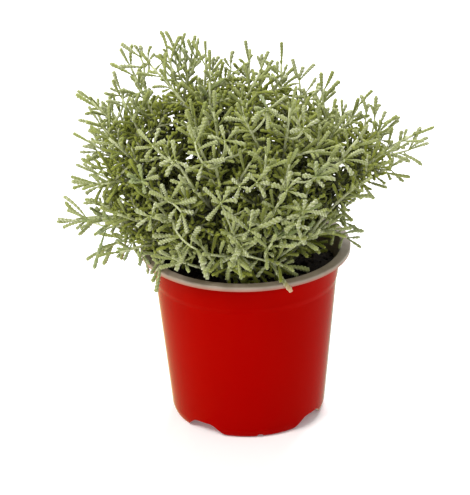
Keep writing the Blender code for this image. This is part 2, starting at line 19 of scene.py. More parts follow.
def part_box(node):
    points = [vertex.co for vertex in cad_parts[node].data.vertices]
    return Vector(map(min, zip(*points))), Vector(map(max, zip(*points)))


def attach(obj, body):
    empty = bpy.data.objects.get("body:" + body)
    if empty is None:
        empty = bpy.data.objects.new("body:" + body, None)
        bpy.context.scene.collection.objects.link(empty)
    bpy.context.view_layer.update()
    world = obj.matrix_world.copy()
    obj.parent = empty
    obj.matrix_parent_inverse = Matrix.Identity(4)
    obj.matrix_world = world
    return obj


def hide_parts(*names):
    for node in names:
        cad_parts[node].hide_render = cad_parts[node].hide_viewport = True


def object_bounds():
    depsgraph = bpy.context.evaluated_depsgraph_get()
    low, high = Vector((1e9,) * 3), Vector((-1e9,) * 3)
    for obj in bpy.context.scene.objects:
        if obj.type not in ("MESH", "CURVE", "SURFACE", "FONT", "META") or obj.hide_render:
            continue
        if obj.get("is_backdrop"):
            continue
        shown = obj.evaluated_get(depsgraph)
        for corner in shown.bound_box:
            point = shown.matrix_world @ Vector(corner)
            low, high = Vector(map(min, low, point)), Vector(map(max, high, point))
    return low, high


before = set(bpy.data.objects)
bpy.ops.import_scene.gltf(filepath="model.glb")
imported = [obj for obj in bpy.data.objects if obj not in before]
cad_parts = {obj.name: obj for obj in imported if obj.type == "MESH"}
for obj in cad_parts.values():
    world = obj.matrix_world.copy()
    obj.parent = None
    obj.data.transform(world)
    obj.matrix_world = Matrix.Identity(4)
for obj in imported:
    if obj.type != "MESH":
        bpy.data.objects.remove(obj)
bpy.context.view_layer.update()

# %% [markdown]
# ## Objects and their data
#
# Blender keeps what a thing is, such as a mesh or a lamp, apart from the object that says where it
# is. An object shows once it is linked into a collection. Every piece below needs both steps, so
# one helper does them.

# %% Object helper


def new_object(name, data):
    """An object around its data, linked into the scene."""
    made = bpy.data.objects.new(name, data)
    bpy.context.scene.collection.objects.link(made)
    return made


# %% [markdown]
# ## The camera
#
# A photograph of a pot tells where it was taken from: the rim shows as an ellipse, and the ratio
# of its height to its width is the sine of the camera's elevation. Here that gives 24 degrees.
# A camera is an object and its data. Its matrix holds where it looks, so one function builds the
# matrix from a target, a direction and a roll, which is easier to read than three angles.

# %% Camera
CAMERA_TARGET = Vector((-0.0065, 0.0, 0.1082))
CAMERA_DISTANCE = 1.40
CAMERA_ELEVATION = math.radians(24.0)
CAMERA_ROLL = math.radians(1.3)
CAMERA_LENS = 164.65
SENSOR = 36.0


def camera_matrix(target, distance, elevation, roll):
    """Where a camera stands that looks at a target from the front, raised and rolled."""
    forward = Vector((0, math.cos(elevation), -math.sin(elevation)))
    right = Vector((1, 0, 0))
    up = right.cross(forward)
    turned_right = right * math.cos(roll) - up * math.sin(roll)
    turned_up = up * math.cos(roll) + right * math.sin(roll)
    matrix = Matrix((turned_right, turned_up, -forward)).transposed().to_4x4()
    matrix.translation = target - forward * distance
    return matrix


camera = new_object("camera", bpy.data.cameras.new("camera"))
camera.data.sensor_width = SENSOR
camera.data.lens = CAMERA_LENS
camera.matrix_world = camera_matrix(CAMERA_TARGET, CAMERA_DISTANCE, CAMERA_ELEVATION, CAMERA_ROLL)
bpy.context.scene.camera = camera
print("camera at", [round(v, 3) for v in camera.matrix_world.translation])

# %% [markdown]
# ## Nodes with less typing
#
# A material is a tree of nodes. Every material here needs the same few moves: add a node, set
# some of its inputs, and link it on. A few small helpers keep the recipes short enough to read.

# %% Material helpers


def new_material(name, **settings):
    """A material and its Principled shader, with the shader's own sockets set."""
    made = bpy.data.materials.new(name)
    made.use_nodes = True
    shader = made.node_tree.nodes["Principled BSDF"]
    for socket, value in settings.items():
        shader.inputs[socket.replace("_", " ")].default_value = value
    return made, made.node_tree, shader


def add(tree, kind, links=None, **settings):
    """A node of that kind. Settings name sockets or properties, and links name sockets."""
    made = tree.nodes.new(kind)
    for name, value in settings.items():
        if hasattr(made, name):
            setattr(made, name, value)
        else:
            made.inputs[name.replace("_", " ")].default_value = value
    for socket, source in (links or {}).items():
        tree.links.new(source, made.inputs[socket])
    return made


def mixed(tree, factor, first, second):
    """A colour between two, each a colour or an output of another node."""
    blend = add(tree, "ShaderNodeMix", data_type="RGBA")
    if isinstance(factor, float):
        blend.inputs[0].default_value = factor
    else:
        tree.links.new(factor, blend.inputs[0])
    for socket, colour in ((blend.inputs[6], first), (blend.inputs[7], second)):
        if isinstance(colour, tuple):
            socket.default_value = (*colour, 1.0)
        else:
            tree.links.new(colour, socket)
    return blend.outputs[2]


def mapped(tree, value, low, high, to_low=0.0, to_high=1.0):
    """A value carried from one range to another, held at its ends."""
    step = add(tree, "ShaderNodeMapRange", {"Value": value})
    for name, number in zip(("From Min", "From Max", "To Min", "To Max"), (low, high, to_low, to_high)):
        step.inputs[name].default_value = number
    return step.outputs["Result"]


def speckle(tree, scale, detail=3.0, stretch=(1.0, 1.0, 1.0)):
    """Noise over the object's own space, in features a metre, stretched along its axes."""
    place = add(tree, "ShaderNodeTexCoord").outputs["Object"]
    place = add(tree, "ShaderNodeMapping", {"Vector": place}, Scale=stretch).outputs["Vector"]
    return add(tree, "ShaderNodeTexNoise", {"Vector": place}, Scale=scale, Detail=detail).outputs["Fac"]


def bumped(tree, shader, height, strength, distance):
    """Lets a height tilt the light on a surface, as relief too fine to model would."""
    bump = add(tree, "ShaderNodeBump", {"Height": height}, Strength=strength, Distance=distance)
    tree.links.new(bump.outputs["Normal"], shader.inputs["Normal"])


print("material helpers are ready")

# %% [markdown]
# ## Floor and light
#
# A studio sweep is a floor that curves up into the wall behind, so that no line shows where they
# meet. It is a row of points pushed sideways. Its paper glows very faintly, which keeps the shade
# round the pot as light as on a lit table. It is marked as stage, because it isn't part of the
# object.

# %% Floor
SWEEP_FRONT = -9.0
SWEEP_BACK = 1.9
SWEEP_RADIUS = 0.9
SWEEP_HEIGHT = 3.2
SWEEP_WIDTH = 16.0
SWEEP_STEPS = 12
PAPER_PALE = (0.96, 0.96, 0.96)
PAPER_SHADE = (0.93, 0.93, 0.93)
PAPER_GLOW = 0.14
PAPER_GRAIN = 60.0


def studio_sweep():
    outline = [(SWEEP_FRONT, 0.0)]
    for step in range(SWEEP_STEPS + 1):
        angle = math.radians(step * 90 / SWEEP_STEPS)
        back = SWEEP_BACK + SWEEP_RADIUS * math.sin(angle)
        outline.append((back, SWEEP_RADIUS * (1 - math.cos(angle))))
    outline.append((SWEEP_BACK + SWEEP_RADIUS, SWEEP_HEIGHT))
    mesh = bpy.data.meshes.new("studio_sweep")
    points = [(side * SWEEP_WIDTH / 2, y, z) for y, z in outline for side in (-1, 1)]
    faces = [(2 * k, 2 * k + 1, 2 * k + 3, 2 * k + 2) for k in range(len(outline) - 1)]
    mesh.from_pydata(points, [], faces)
    mesh.shade_smooth()
    return new_object("studio_sweep", mesh)


paper, tree, shader = new_material(
    "white_paper", Roughness=0.9, Specular_IOR_Level=0.2, Emission_Strength=PAPER_GLOW
)
grain = speckle(tree, PAPER_GRAIN)
tree.links.new(mixed(tree, grain, PAPER_SHADE, PAPER_PALE), shader.inputs["Base Color"])
floor = studio_sweep()
floor.data.materials.append(paper)
floor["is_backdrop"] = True
print("floor:", len(floor.data.polygons), "strips")

# %% [markdown]
# ## Lamps
#
# Soft shadows come from large lamps. One high on the left does most of the work, one above and
# behind lights the tips of the shoots, and a white world fills the rest. The lamps' size and power
# are the two things to play with: a larger lamp gives softer shadows at the same power.

# %% Lamps and world
CROWN_MIDDLE = (0.0, 0.0, 0.16)
KEY_PLACE = (-0.9, -0.8, 1.6)
KEY_COLOUR = (1.0, 0.985, 0.955)
BACK_PLACE = (0.3, 1.0, 1.6)
WHITE = (1.0, 1.0, 1.0)
KEY_SIZE = 0.7
KEY_POWER = 27.0
BACK_SIZE = 0.9
BACK_POWER = 35.0
WORLD_STRENGTH = 0.50


def lamp(name, place, size, power, colour):
    """A square soft lamp at a place, turned to face the crown."""
    light = bpy.data.lights.new(name, "AREA")
    light.size = size
    light.energy = power
    light.color = colour
    made = new_object(name, light)
    made.location = place
    toward = Vector(CROWN_MIDDLE) - Vector(place)
    made.rotation_euler = toward.to_track_quat("-Z", "Y").to_euler()


lamp("key_left", KEY_PLACE, KEY_SIZE, KEY_POWER, KEY_COLOUR)
lamp("back_top", BACK_PLACE, BACK_SIZE, BACK_POWER, WHITE)
world = bpy.data.worlds.new("white_world")
world.use_nodes = True
sky = world.node_tree.nodes["Background"]
sky.inputs["Color"].default_value = (*WHITE, 1.0)
sky.inputs["Strength"].default_value = WORLD_STRENGTH
bpy.context.scene.world = world
bpy.context.scene.view_settings.view_transform = "Standard"
print("lamps:", len(bpy.data.lights))

# %% [markdown]
# ## Something to reflect
#
# A glossy thing looks like what stands round it. The pot has a warm band down its left side and a
# pale brown edge on its right, so it stood between coloured things. Photographers lay cards beside
# a bottle for this. Here two glowing cards lie on the floor and show in reflections alone: they
# are hidden from the camera and throw no light or shadow on anything.

# %% Reflection cards
CARD_PLACE = 0.30
CARD_HALF = 0.262
CARD_BACK = 0.02
CARD_HEIGHT = 0.0008
CARD_FADE = 0.93
CARD_GRAIN = 5.0
LEFT_CARD = (1.50, 1.45, 0.78)
RIGHT_CARD = (0.80, 1.10, 0.85)


def reflection_card(name, x, colour):
    """A coloured card laid beside the pot, seen only in reflections."""
    mesh = bpy.data.meshes.new(name)
    corners = ((-1, -1), (1, -1), (1, 1), (-1, 1))
    points = [(x + CARD_HALF * i, -CARD_BACK + CARD_HALF * j, CARD_HEIGHT) for i, j in corners]
    mesh.from_pydata(points, [], [(0, 1, 2, 3)])
    glow, tree, shader = new_material(name, Roughness=1.0, Specular_IOR_Level=0.0, Emission_Strength=1.0)
    patches = mapped(tree, speckle(tree, CARD_GRAIN), 0.3, 0.7)
    faded = tuple(CARD_FADE * part for part in colour)
    tree.links.new(mixed(tree, patches, colour, faded), shader.inputs["Emission Color"])
    shader.inputs["Base Color"].default_value = (0.0, 0.0, 0.0, 1.0)
    mesh.materials.append(glow)
    made = new_object(name, mesh)
    made.visible_camera = False
    made.visible_diffuse = False
    made.visible_shadow = False
    made.visible_transmission = False
    return made


for name, x, colour in (("left_card", -CARD_PLACE, LEFT_CARD), ("right_card", CARD_PLACE, RIGHT_CARD)):
    card = reflection_card(name, x, colour)
    card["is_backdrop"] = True
    print(name, "is", round(card.dimensions.x, 2), "m wide")

# %% [markdown]
# ## The pot
#
# The real pot is moulded from one thin sheet: red outside, taupe inside and over its rim. A round
# thing like this is one outline turned about an axis, which the Screw modifier does. The sizes
# are the solid's own. What is finer here is the rim, which is a thin flange turned down at its
# edge with a groove under it, and every corner, which the mould leaves round. A rounded corner is
# a short curve drawn through three points, so it works on any outline.

# %% Pot sizes
RIM_RADIUS = 0.065
POT_HEIGHT = 0.111
RIM_WIDTH = 0.0062
RIM_DEPTH = 0.003
COLLAR_RADIUS = 0.0594
COLLAR_FOOT_RADIUS = 0.0571
COLLAR_DEPTH = 0.0185
STEP_RADIUS = 0.0562
STEP_DEPTH = 0.022
FOOT_RADIUS = 0.0482
FOOT_ROUNDING = ((0.0, 0.0050), (0.0010, 0.0015), (0.0026, 0.0))
FOOT_SLOPE = 0.0010
FOOT_WIDTH = 0.0090
FOOT_HEIGHT = 0.0073
WALL = 0.0010
POT_SIDES = 160
print("pot:", RIM_RADIUS * 2000, "mm across and", POT_HEIGHT * 1000, "mm tall")

# %% Outlines and turning
MOST_ROUNDING = 0.45
WELD_DISTANCE = 0.00001


def rounded(outline, radius, steps=4):
    """An outline with each inner corner rounded, as far as its two sides allow."""
    points = [np.array(point, float) for point in outline]
    made = [points[0]]
    for before, corner, after in zip(points, points[1:], points[2:]):
        back = before - corner
        on = after - corner
        back_length = np.linalg.norm(back)
        on_length = np.linalg.norm(on)
        reach = min(radius, back_length * MOST_ROUNDING, on_length * MOST_ROUNDING)
        start = corner + back / back_length * reach
        end = corner + on / on_length * reach
        for k in range(steps + 1):
            t = k / steps
            made.append((1 - t) ** 2 * start + 2 * t * (1 - t) * corner + t * t * end)
    made.append(points[-1])
    return [tuple(float(v) for v in point) for point in made]


def turned(name, outline, sides):
    """A solid turned from an outline of (radius, height), run down its outer side."""
    mesh = bpy.data.meshes.new(name)
    points = [(radius, 0.0, height) for radius, height in outline]
    mesh.from_pydata(points, [(k, k + 1) for k in range(len(points) - 1)], [])
    made = new_object(name, mesh)
    screw = made.modifiers.new("turn", "SCREW")
    screw.axis = "Z"
    screw.steps = sides
    screw.render_steps = sides
    screw.use_merge_vertices = True
    screw.merge_threshold = WELD_DISTANCE
    return made


def settle(made):
    """Turns an object's modifiers into its mesh."""
    bpy.context.view_layer.update()
    graph = bpy.context.evaluated_depsgraph_get()
    mesh = bpy.data.meshes.new_from_object(made.evaluated_get(graph))
    made.modifiers.clear()
    made.data = mesh
    return made


print("outline corners get", len(rounded([(0, 0), (1, 0), (1, 1)], 0.1)) - 2, "points each")

# %% [markdown]
# ## Cutting the feet
#
# The pot stands on four feet. Between them are four wide arches that let water run out from
# under the floor, and a shallow groove crosses each foot. A Boolean modifier cuts them, first the
# walls that stay round each arch out of the hollow, then the arches out of the pot, and then the
# hollow. The arches and the grooves differ only in size, so one function makes both.

# %% Pot outlines
POT_ROUNDING = 0.0009


def pot_outside():
    """The outline of the pot's outer side, from its axis over the rim and down to the floor."""
    top = POT_HEIGHT
    lip = POT_HEIGHT - RIM_DEPTH
    return rounded((
        (0.0, top),
        (RIM_RADIUS, top),
        (RIM_RADIUS, lip),
        (RIM_RADIUS - WALL, lip),
        (RIM_RADIUS - WALL, top - WALL),
        (COLLAR_RADIUS, top - WALL),
        (COLLAR_FOOT_RADIUS, top - COLLAR_DEPTH),
        (STEP_RADIUS, top - STEP_DEPTH),
        *((FOOT_RADIUS - inward, height) for inward, height in FOOT_ROUNDING),
        (FOOT_RADIUS - FOOT_WIDTH, 0.0),
        (FOOT_RADIUS - FOOT_WIDTH - FOOT_SLOPE, FOOT_HEIGHT),
        (0.0, FOOT_HEIGHT),
    ), POT_ROUNDING)


def pot_inside():
    """The outline of the hollow, a wall's thickness inside the other one."""
    riser = FOOT_RADIUS - FOOT_WIDTH
    start, middle, end = FOOT_ROUNDING
    return (
        (0.0, POT_HEIGHT + RIM_DEPTH),
        (RIM_RADIUS - RIM_WIDTH + WALL, POT_HEIGHT + RIM_DEPTH),
        (RIM_RADIUS - RIM_WIDTH + WALL * 0.6, POT_HEIGHT),
        (RIM_RADIUS - RIM_WIDTH + WALL * 0.2, POT_HEIGHT - WALL * 0.3),
        (RIM_RADIUS - RIM_WIDTH, POT_HEIGHT - WALL),
        (COLLAR_FOOT_RADIUS - WALL, POT_HEIGHT - COLLAR_DEPTH),
        (STEP_RADIUS - WALL, POT_HEIGHT - STEP_DEPTH),
        (FOOT_RADIUS - WALL, start[1]),
        (FOOT_RADIUS - middle[0] - WALL * 0.9, middle[1] + WALL * 0.4),
        (FOOT_RADIUS - end[0] - WALL * 0.3, WALL),
        (riser + WALL, WALL),
        (riser - FOOT_SLOPE + WALL, FOOT_HEIGHT + WALL),
        (0.0, FOOT_HEIGHT + WALL),
    )


print("pot outline:", len(pot_outside()), "points outside and", len(pot_inside()), "inside")

# %% Cutting tools
DRAIN_RADIUS = 0.0035
DRAIN_CIRCLE = 0.026
DRAIN_TOP = 0.011
DRAIN_FOOT = 0.004
DRAIN_SIDES = 24
ARCH_BELOW = 0.002
ARCH_PAST = 0.006
CORNER_STEPS = 8


def pushed(name, outline, start, end, azimuth):
    """A solid whose outline of (across, height) is pushed outward from one radius to another."""
    shape = bmesh.new()
    face = shape.faces.new([shape.verts.new((start, y, z)) for y, z in outline])
    grown = bmesh.ops.extrude_face_region(shape, geom=[face])
    moved = [item for item in grown["geom"] if isinstance(item, bmesh.types.BMVert)]
    bmesh.ops.translate(shape, verts=moved, vec=(end - start, 0, 0))
    bmesh.ops.recalc_face_normals(shape, faces=shape.faces)
    mesh = bpy.data.meshes.new(name)
    shape.to_mesh(mesh)
    shape.free()
    made = new_object(name, mesh)
    made.rotation_euler = (0, 0, math.radians(azimuth))
    return made


def arch(name, azimuth, sizes, grown):
    """A tunnel under the floor: two sloping sides, a flat top, and rounded upper corners."""
    foot, head, top, corner = sizes
    slope = (foot - head) / 2 / top
    aside = grown * math.sqrt(1 + slope * slope)
    low = (foot / 2 + slope * ARCH_BELOW + aside, -ARCH_BELOW)
    edge = (head / 2 + aside - grown * slope, top + grown)
    half = rounded((low, edge, (0.0, top + grown)), corner, CORNER_STEPS)[:-1]
    outline = half + [(-across, height) for across, height in reversed(half)]
    start = FOOT_RADIUS - FOOT_WIDTH - ARCH_PAST
    return pushed(name, outline, start, FOOT_RADIUS + ARCH_PAST, azimuth)


def drain(name, azimuth):
    """A round plug that cuts one drain hole through the floor."""
    wide = (DRAIN_RADIUS, DRAIN_TOP), (DRAIN_RADIUS, DRAIN_FOOT)
    made = turned(name, ((0.0, DRAIN_TOP), *wide, (0.0, DRAIN_FOOT)), DRAIN_SIDES)
    made.location = Matrix.Rotation(math.radians(azimuth), 3, "Z") @ Vector((DRAIN_CIRCLE, 0, 0))
    return made


def cut(target, cutters):
    """Cuts each solid out of the target in turn, then removes them."""
    for cutter in cutters:
        step = target.modifiers.new("cut", "BOOLEAN")
        step.operation = "DIFFERENCE"
        step.solver = "EXACT"
        step.object = cutter
    settle(target)
    for cutter in cutters:
        bpy.data.objects.remove(cutter, do_unlink=True)
    return target


print("the cutters reach", ARCH_PAST * 1000, "mm past the foot")

# %% Cut pot
CHANNEL_AZIMUTHS = (-126.5, -36.5, 53.5, 143.5)
CHANNEL_SIZES = (0.0295, 0.0135, FOOT_HEIGHT - 0.0001, 0.0030)
GROOVE_AZIMUTHS = (-82, 8, 98, 188)
GROOVE_SIZES = (0.0052, 0.0024, 0.0021, 0.0008)


def arches(grown):
    """The four wide arches and the four grooves, each grown by a thickness."""
    made = [arch("channel", azimuth, CHANNEL_SIZES, grown) for azimuth in CHANNEL_AZIMUTHS]
    return made + [arch("groove", azimuth, GROOVE_SIZES, grown) for azimuth in GROOVE_AZIMUTHS]


hollow = cut(turned("pot_hollow", pot_inside(), POT_SIDES), arches(WALL))
drains = [drain("drain", azimuth) for azimuth in GROOVE_AZIMUTHS]
pot = cut(turned("grower_pot", pot_outside(), POT_SIDES), arches(0.0) + drains + [hollow])
print("pot faces:", len(pot.data.polygons))

# %% [markdown]
# ## Red outside
#
# The red is a glossy plastic. Its roughness and its surface vary a little, drawn out along the
# height as moulded sheet is, so that its reflections aren't those of a perfect mirror. Under the
# rim a band is painted darker: painted shade, where the flange shades the wall below it. The band
# asks for the height in the object's own space, which stays right from wherever one looks.

# %% Red plastic
RED = (0.36, 0.0005, 0.0002)
DEEP_RED = (0.32, 0.0003, 0.0001)
SHADED_RED = (0.15, 0.0002, 0.0001)
WARM_GLOSS = (1.0, 0.5, 0.12, 1.0)
RIM_FOOT = POT_HEIGHT - RIM_DEPTH
BAND_FOOT = RIM_FOOT - 0.0055
BAND_TOP = RIM_FOOT - 0.0020
BAND_SHADE = 0.55
CLOUD_GRAIN = 22.0
GLOSS_GRAIN = 900.0
GLOSS_RANGE = (0.08, 0.15)
WAVE_GRAIN = 70.0
WAVE_HEIGHT = 0.0004


def object_height(tree):
    """A point's height in the object's own space."""
    place = add(tree, "ShaderNodeTexCoord").outputs["Object"]
    return add(tree, "ShaderNodeSeparateXYZ", {"Vector": place}).outputs["Z"]


red_plastic, tree, shader = new_material(
    "red_plastic", Specular_IOR_Level=0.02, Specular_Tint=WARM_GLOSS
)
cloud = speckle(tree, CLOUD_GRAIN, 2.0, (1.0, 1.0, 0.35))
# Painted shade: the red darkens in a band just under the rim, where the flange shades the wall.
painted_shade_band = mapped(tree, object_height(tree), BAND_FOOT, BAND_TOP, 0.0, BAND_SHADE)
colour = mixed(tree, painted_shade_band, mixed(tree, cloud, DEEP_RED, RED), SHADED_RED)
tree.links.new(colour, shader.inputs["Base Color"])
fine = speckle(tree, GLOSS_GRAIN, 4.0, (1.0, 1.0, 0.12))
tree.links.new(mapped(tree, fine, 0.3, 0.7, *GLOSS_RANGE), shader.inputs["Roughness"])
bumped(tree, shader, speckle(tree, WAVE_GRAIN, 3.0, (1.0, 1.0, 0.3)), 0.25, WAVE_HEIGHT)
print("red plastic:", len(tree.nodes), "nodes")

# %% [markdown]
# ## Taupe inside
#
# The inner layer of the sheet is a dull taupe, finely mottled. At the rim's lower edge the two
# layers meet and the red shines through, so the edge turns reddish there. It is only wanted on the
# outside, so a second range asks how far a point is from the axis.

# %% Taupe plastic
TAUPE = (0.30, 0.238, 0.185)
PALE_TAUPE = (0.36, 0.288, 0.228)
EDGE_RED = (0.42, 0.10, 0.07)
EDGE_HEIGHT = 0.0021
EDGE_SHARE = 0.85
EDGE_BAND = (0.0012, 0.0004)
MOTTLE_GRAIN = 160.0
DULL_GRAIN = 1500.0
DULL_RANGE = (0.34, 0.50)
SKIN_GRAIN = 1200.0
SKIN_HEIGHT = 0.0002


def flat_place(tree):
    """A point's place across the object, without its height."""
    place = add(tree, "ShaderNodeTexCoord").outputs["Object"]
    return add(tree, "ShaderNodeMapping", {"Vector": place}, Scale=(1.0, 1.0, 0.0)).outputs["Vector"]


taupe_plastic, tree, shader = new_material("taupe_plastic", Specular_IOR_Level=0.45)
mottle = mapped(tree, speckle(tree, MOTTLE_GRAIN), 0.35, 0.65)
colour = mixed(tree, mottle, TAUPE, PALE_TAUPE)
low_edge = mapped(tree, object_height(tree), RIM_FOOT, RIM_FOOT + EDGE_HEIGHT, EDGE_SHARE, 0.0)
radius = add(tree, "ShaderNodeVectorMath", {0: flat_place(tree)}, operation="LENGTH").outputs["Value"]
outside = mapped(tree, radius, *(RIM_RADIUS - inward for inward in EDGE_BAND))
low_edge = add(tree, "ShaderNodeMath", {0: low_edge, 1: outside}, operation="MULTIPLY").outputs[0]
tree.links.new(mixed(tree, low_edge, colour, EDGE_RED), shader.inputs["Base Color"])
dull = mapped(tree, speckle(tree, DULL_GRAIN), 0.3, 0.7, *DULL_RANGE)
tree.links.new(dull, shader.inputs["Roughness"])
bumped(tree, shader, speckle(tree, SKIN_GRAIN), 0.2, SKIN_HEIGHT)
print("taupe plastic:", len(tree.nodes), "nodes")

# %% [markdown]
# ## Two colours of one sheet
#
# The colour changes at the lower edge of the rim. A mesh can hold several materials, and each face
# says which one it takes. So every face of the pot is asked where it is: on the rim, or within the
# hollow, it is taupe, and all others are red.

# %% Colour the pot
SHARP_ANGLE = math.radians(32)
TOP_SHARE = 0.9
FLOOR_SHARE = 0.7
EDGE_SPARE = 0.0002


def middle_radius(height):
    """The radius halfway through the pot's wall at a height."""
    heights = (FOOT_ROUNDING[0][1], POT_HEIGHT - STEP_DEPTH, POT_HEIGHT - COLLAR_DEPTH, POT_HEIGHT)
    radii = (FOOT_RADIUS, STEP_RADIUS, COLLAR_FOOT_RADIUS, COLLAR_RADIUS)
    return float(np.interp(height, heights, radii)) - WALL / 2


def is_taupe(place):
    """Whether a place on the pot's surface belongs to the inner layer."""
    radius = math.hypot(place.x, place.y)
    on_top = place.z > POT_HEIGHT - WALL * TOP_SHARE
    on_edge = place.z > RIM_FOOT - EDGE_SPARE and radius > RIM_RADIUS - WALL / 2
    within = place.z > FOOT_HEIGHT + WALL * FLOOR_SHARE and radius < middle_radius(place.z)
    return on_top or on_edge or within


pot.data.materials.clear()
pot.data.materials.append(red_plastic)
pot.data.materials.append(taupe_plastic)
for face in pot.data.polygons:
    face.material_index = 1 if is_taupe(face.center) else 0
pot.data.shade_smooth()
pot.data.set_sharp_from_angle(angle=SHARP_ANGLE)
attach(pot, "root")
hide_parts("pot")
print("taupe faces:", sum(face.material_index for face in pot.data.polygons))

# %% [markdown]
# ## The peat
#
# Potting peat is a dark crumb of fibres and bark. The top of the soil is a disc of rings whose
# points are raised by fractal noise, and lumps of many sizes lie half sunk in it. Each lump is a
# small icosphere pushed about by noise. Sculpting would do as well, but a rule can be repeated.

# %% Peat surface
SOIL_TOP = 0.098
SOIL_EDGE_DROP = 0.0015
SOIL_FLAT_RADIUS = 0.044
CLEARANCE = 0.0003
PEAT_RINGS = 64
PEAT_SIDES = 150
PEAT_RELIEF = 0.0011
PEAT_LEVEL = 0.6
PEAT_GRAIN = 260.0
PEAT_NOISE = (1.0, 2.1, 4)
PEAT_INSET = 0.0005

collar_heights = (POT_HEIGHT - COLLAR_DEPTH, POT_HEIGHT)
soil_edge = float(np.interp(SOIL_TOP, collar_heights, (COLLAR_FOOT_RADIUS, COLLAR_RADIUS)))
soil_edge = soil_edge - WALL - CLEARANCE


def soil_height(x, y):
    """The soil's top: level in the middle, lower at the wall, and uneven as crumb is."""
    radius = math.hypot(x, y)
    fall = max(0.0, radius - SOIL_FLAT_RADIUS) / (soil_edge - SOIL_FLAT_RADIUS)
    rough = noise.fractal(Vector((x, y, 0.0)) * PEAT_GRAIN, *PEAT_NOISE)
    return SOIL_TOP - SOIL_EDGE_DROP * fall + PEAT_RELIEF * (rough - PEAT_LEVEL)


def peat_solid():
    """Rings of points from the middle of the top to the wall, and on down to the pot's floor."""
    shape = bmesh.new()
    angles = [2 * math.pi * side / PEAT_SIDES for side in range(PEAT_SIDES)]
    rings = []
    for ring in range(1, PEAT_RINGS + 1):
        radius = soil_edge * ring / PEAT_RINGS
        places = [(radius * math.cos(angle), radius * math.sin(angle)) for angle in angles]
        rings.append([shape.verts.new((x, y, soil_height(x, y))) for x, y in places])
    lower = (
        (soil_edge - PEAT_INSET, POT_HEIGHT - COLLAR_DEPTH),
        (STEP_RADIUS - WALL - CLEARANCE, POT_HEIGHT - STEP_DEPTH),
        (FOOT_RADIUS - WALL - CLEARANCE, FOOT_HEIGHT + WALL + CLEARANCE),
    )
    for radius, height in lower:
        radius = min(radius, middle_radius(height) - WALL / 2 - CLEARANCE)
        rings.append([shape.verts.new((radius * math.cos(a), radius * math.sin(a), height)) for a in angles])
    middle = shape.verts.new((0, 0, soil_height(0, 0)))
    bottom = shape.verts.new((0, 0, FOOT_HEIGHT + WALL + CLEARANCE))
    for side in range(PEAT_SIDES):
        after = (side + 1) % PEAT_SIDES
        shape.faces.new((middle, rings[0][side], rings[0][after]))
        shape.faces.new((bottom, rings[-1][after], rings[-1][side]))
        for inner, outer in zip(rings, rings[1:]):
            shape.faces.new((inner[side], outer[side], outer[after], inner[after]))
    return shape


shape = peat_solid()
print("peat surface:", len(shape.verts), "points, out to", round(soil_edge * 1000, 1), "mm")

# %% Peat lumps
LUMPS = 420
LUMP_SIZES = (0.0007, 0.0026)
FINE_LUMP = 0.0013
SIZE_POWER = 3
LUMP_INSIDE = 1.6
LUMP_STRETCH = ((0.7, 1.5), (0.6, 1.1), (0.45, 0.8))
LUMP_TILT = 0.6
NOISE_SPREAD = 50
LUMP_SUNK = 0.15
DENT = 0.35
DENT_GRAIN = 1.1
PEAT_SEED = 21


def add_lump(shape, draw):
    """One crumb: an icosphere stretched, turned and dented, half sunk in the soil."""
    low, high = LUMP_SIZES
    size = low + (high - low) * draw.random() ** SIZE_POWER
    radius = (soil_edge - size * LUMP_INSIDE) * math.sqrt(draw.random())
    angle = draw.uniform(0, 2 * math.pi)
    x = radius * math.cos(angle)
    y = radius * math.sin(angle)
    steps = 2 if size > FINE_LUMP else 1
    grown = bmesh.ops.create_icosphere(shape, subdivisions=steps, radius=size)
    stretch = Vector([draw.uniform(*limits) for limits in LUMP_STRETCH])
    turn = Matrix.Rotation(draw.uniform(0, math.pi), 3, "Z")
    spin = turn @ Matrix.Rotation(draw.uniform(-LUMP_TILT, LUMP_TILT), 3, "X")
    offset = Vector((draw.uniform(0, NOISE_SPREAD), draw.uniform(0, NOISE_SPREAD), 0))
    place = Vector((x, y, soil_height(x, y) + size * LUMP_SUNK))
    for vert in grown["verts"]:
        dent = 1 + DENT * noise.noise(vert.co / size * DENT_GRAIN + offset)
        vert.co = spin @ (vert.co * stretch * dent) + place


draw = random.Random(PEAT_SEED)
for number in range(LUMPS):
    add_lump(shape, draw)
bmesh.ops.recalc_face_normals(shape, faces=shape.faces)
peat_mesh = bpy.data.meshes.new("peat")
shape.to_mesh(peat_mesh)
shape.free()
peat_mesh.shade_smooth()
peat = new_object("peat", peat_mesh)
print("peat faces:", len(peat_mesh.polygons))

# %% Peat finish
DAMP_BLACK = (0.006, 0.0045, 0.0035)
DARK_BROWN = (0.028, 0.019, 0.012)
FIBRE_BROWN = (0.085, 0.055, 0.032)
PATCH_GRAIN = 420.0
FIBRE_GRAIN = 1500.0
CRUMB_GRAIN = 1800.0
CRUMB_HEIGHT = 0.0006

peat_crumb, tree, shader = new_material("peat_crumb", Roughness=0.93, Specular_IOR_Level=0.25)
patches = mapped(tree, speckle(tree, PATCH_GRAIN, 5.0), 0.38, 0.68)
fibres = mapped(tree, speckle(tree, FIBRE_GRAIN, 2.0, (1.0, 0.2, 1.0)), 0.66, 0.72)
colour = mixed(tree, fibres, mixed(tree, patches, DAMP_BLACK, DARK_BROWN), FIBRE_BROWN)
tree.links.new(colour, shader.inputs["Base Color"])
bumped(tree, shader, speckle(tree, CRUMB_GRAIN, 5.0), 0.8, CRUMB_HEIGHT)
peat_mesh.materials.append(peat_crumb)
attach(peat, "root")
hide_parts("soil")
print("peat finish:", len(tree.nodes), "nodes")

# %% [markdown]
# ## How the crown is laid out
#
# A shrub like this fills a dome. Each stem gets a direction from the middle of the soil, and a
# reach, the distance at which its tip ends. Directions that are a golden angle apart never line
# up, so a fan of them fills the dome evenly. A few long shoots, which break the outline, are
# named one by one. This is the rule that the solids were made by, so that both agree.

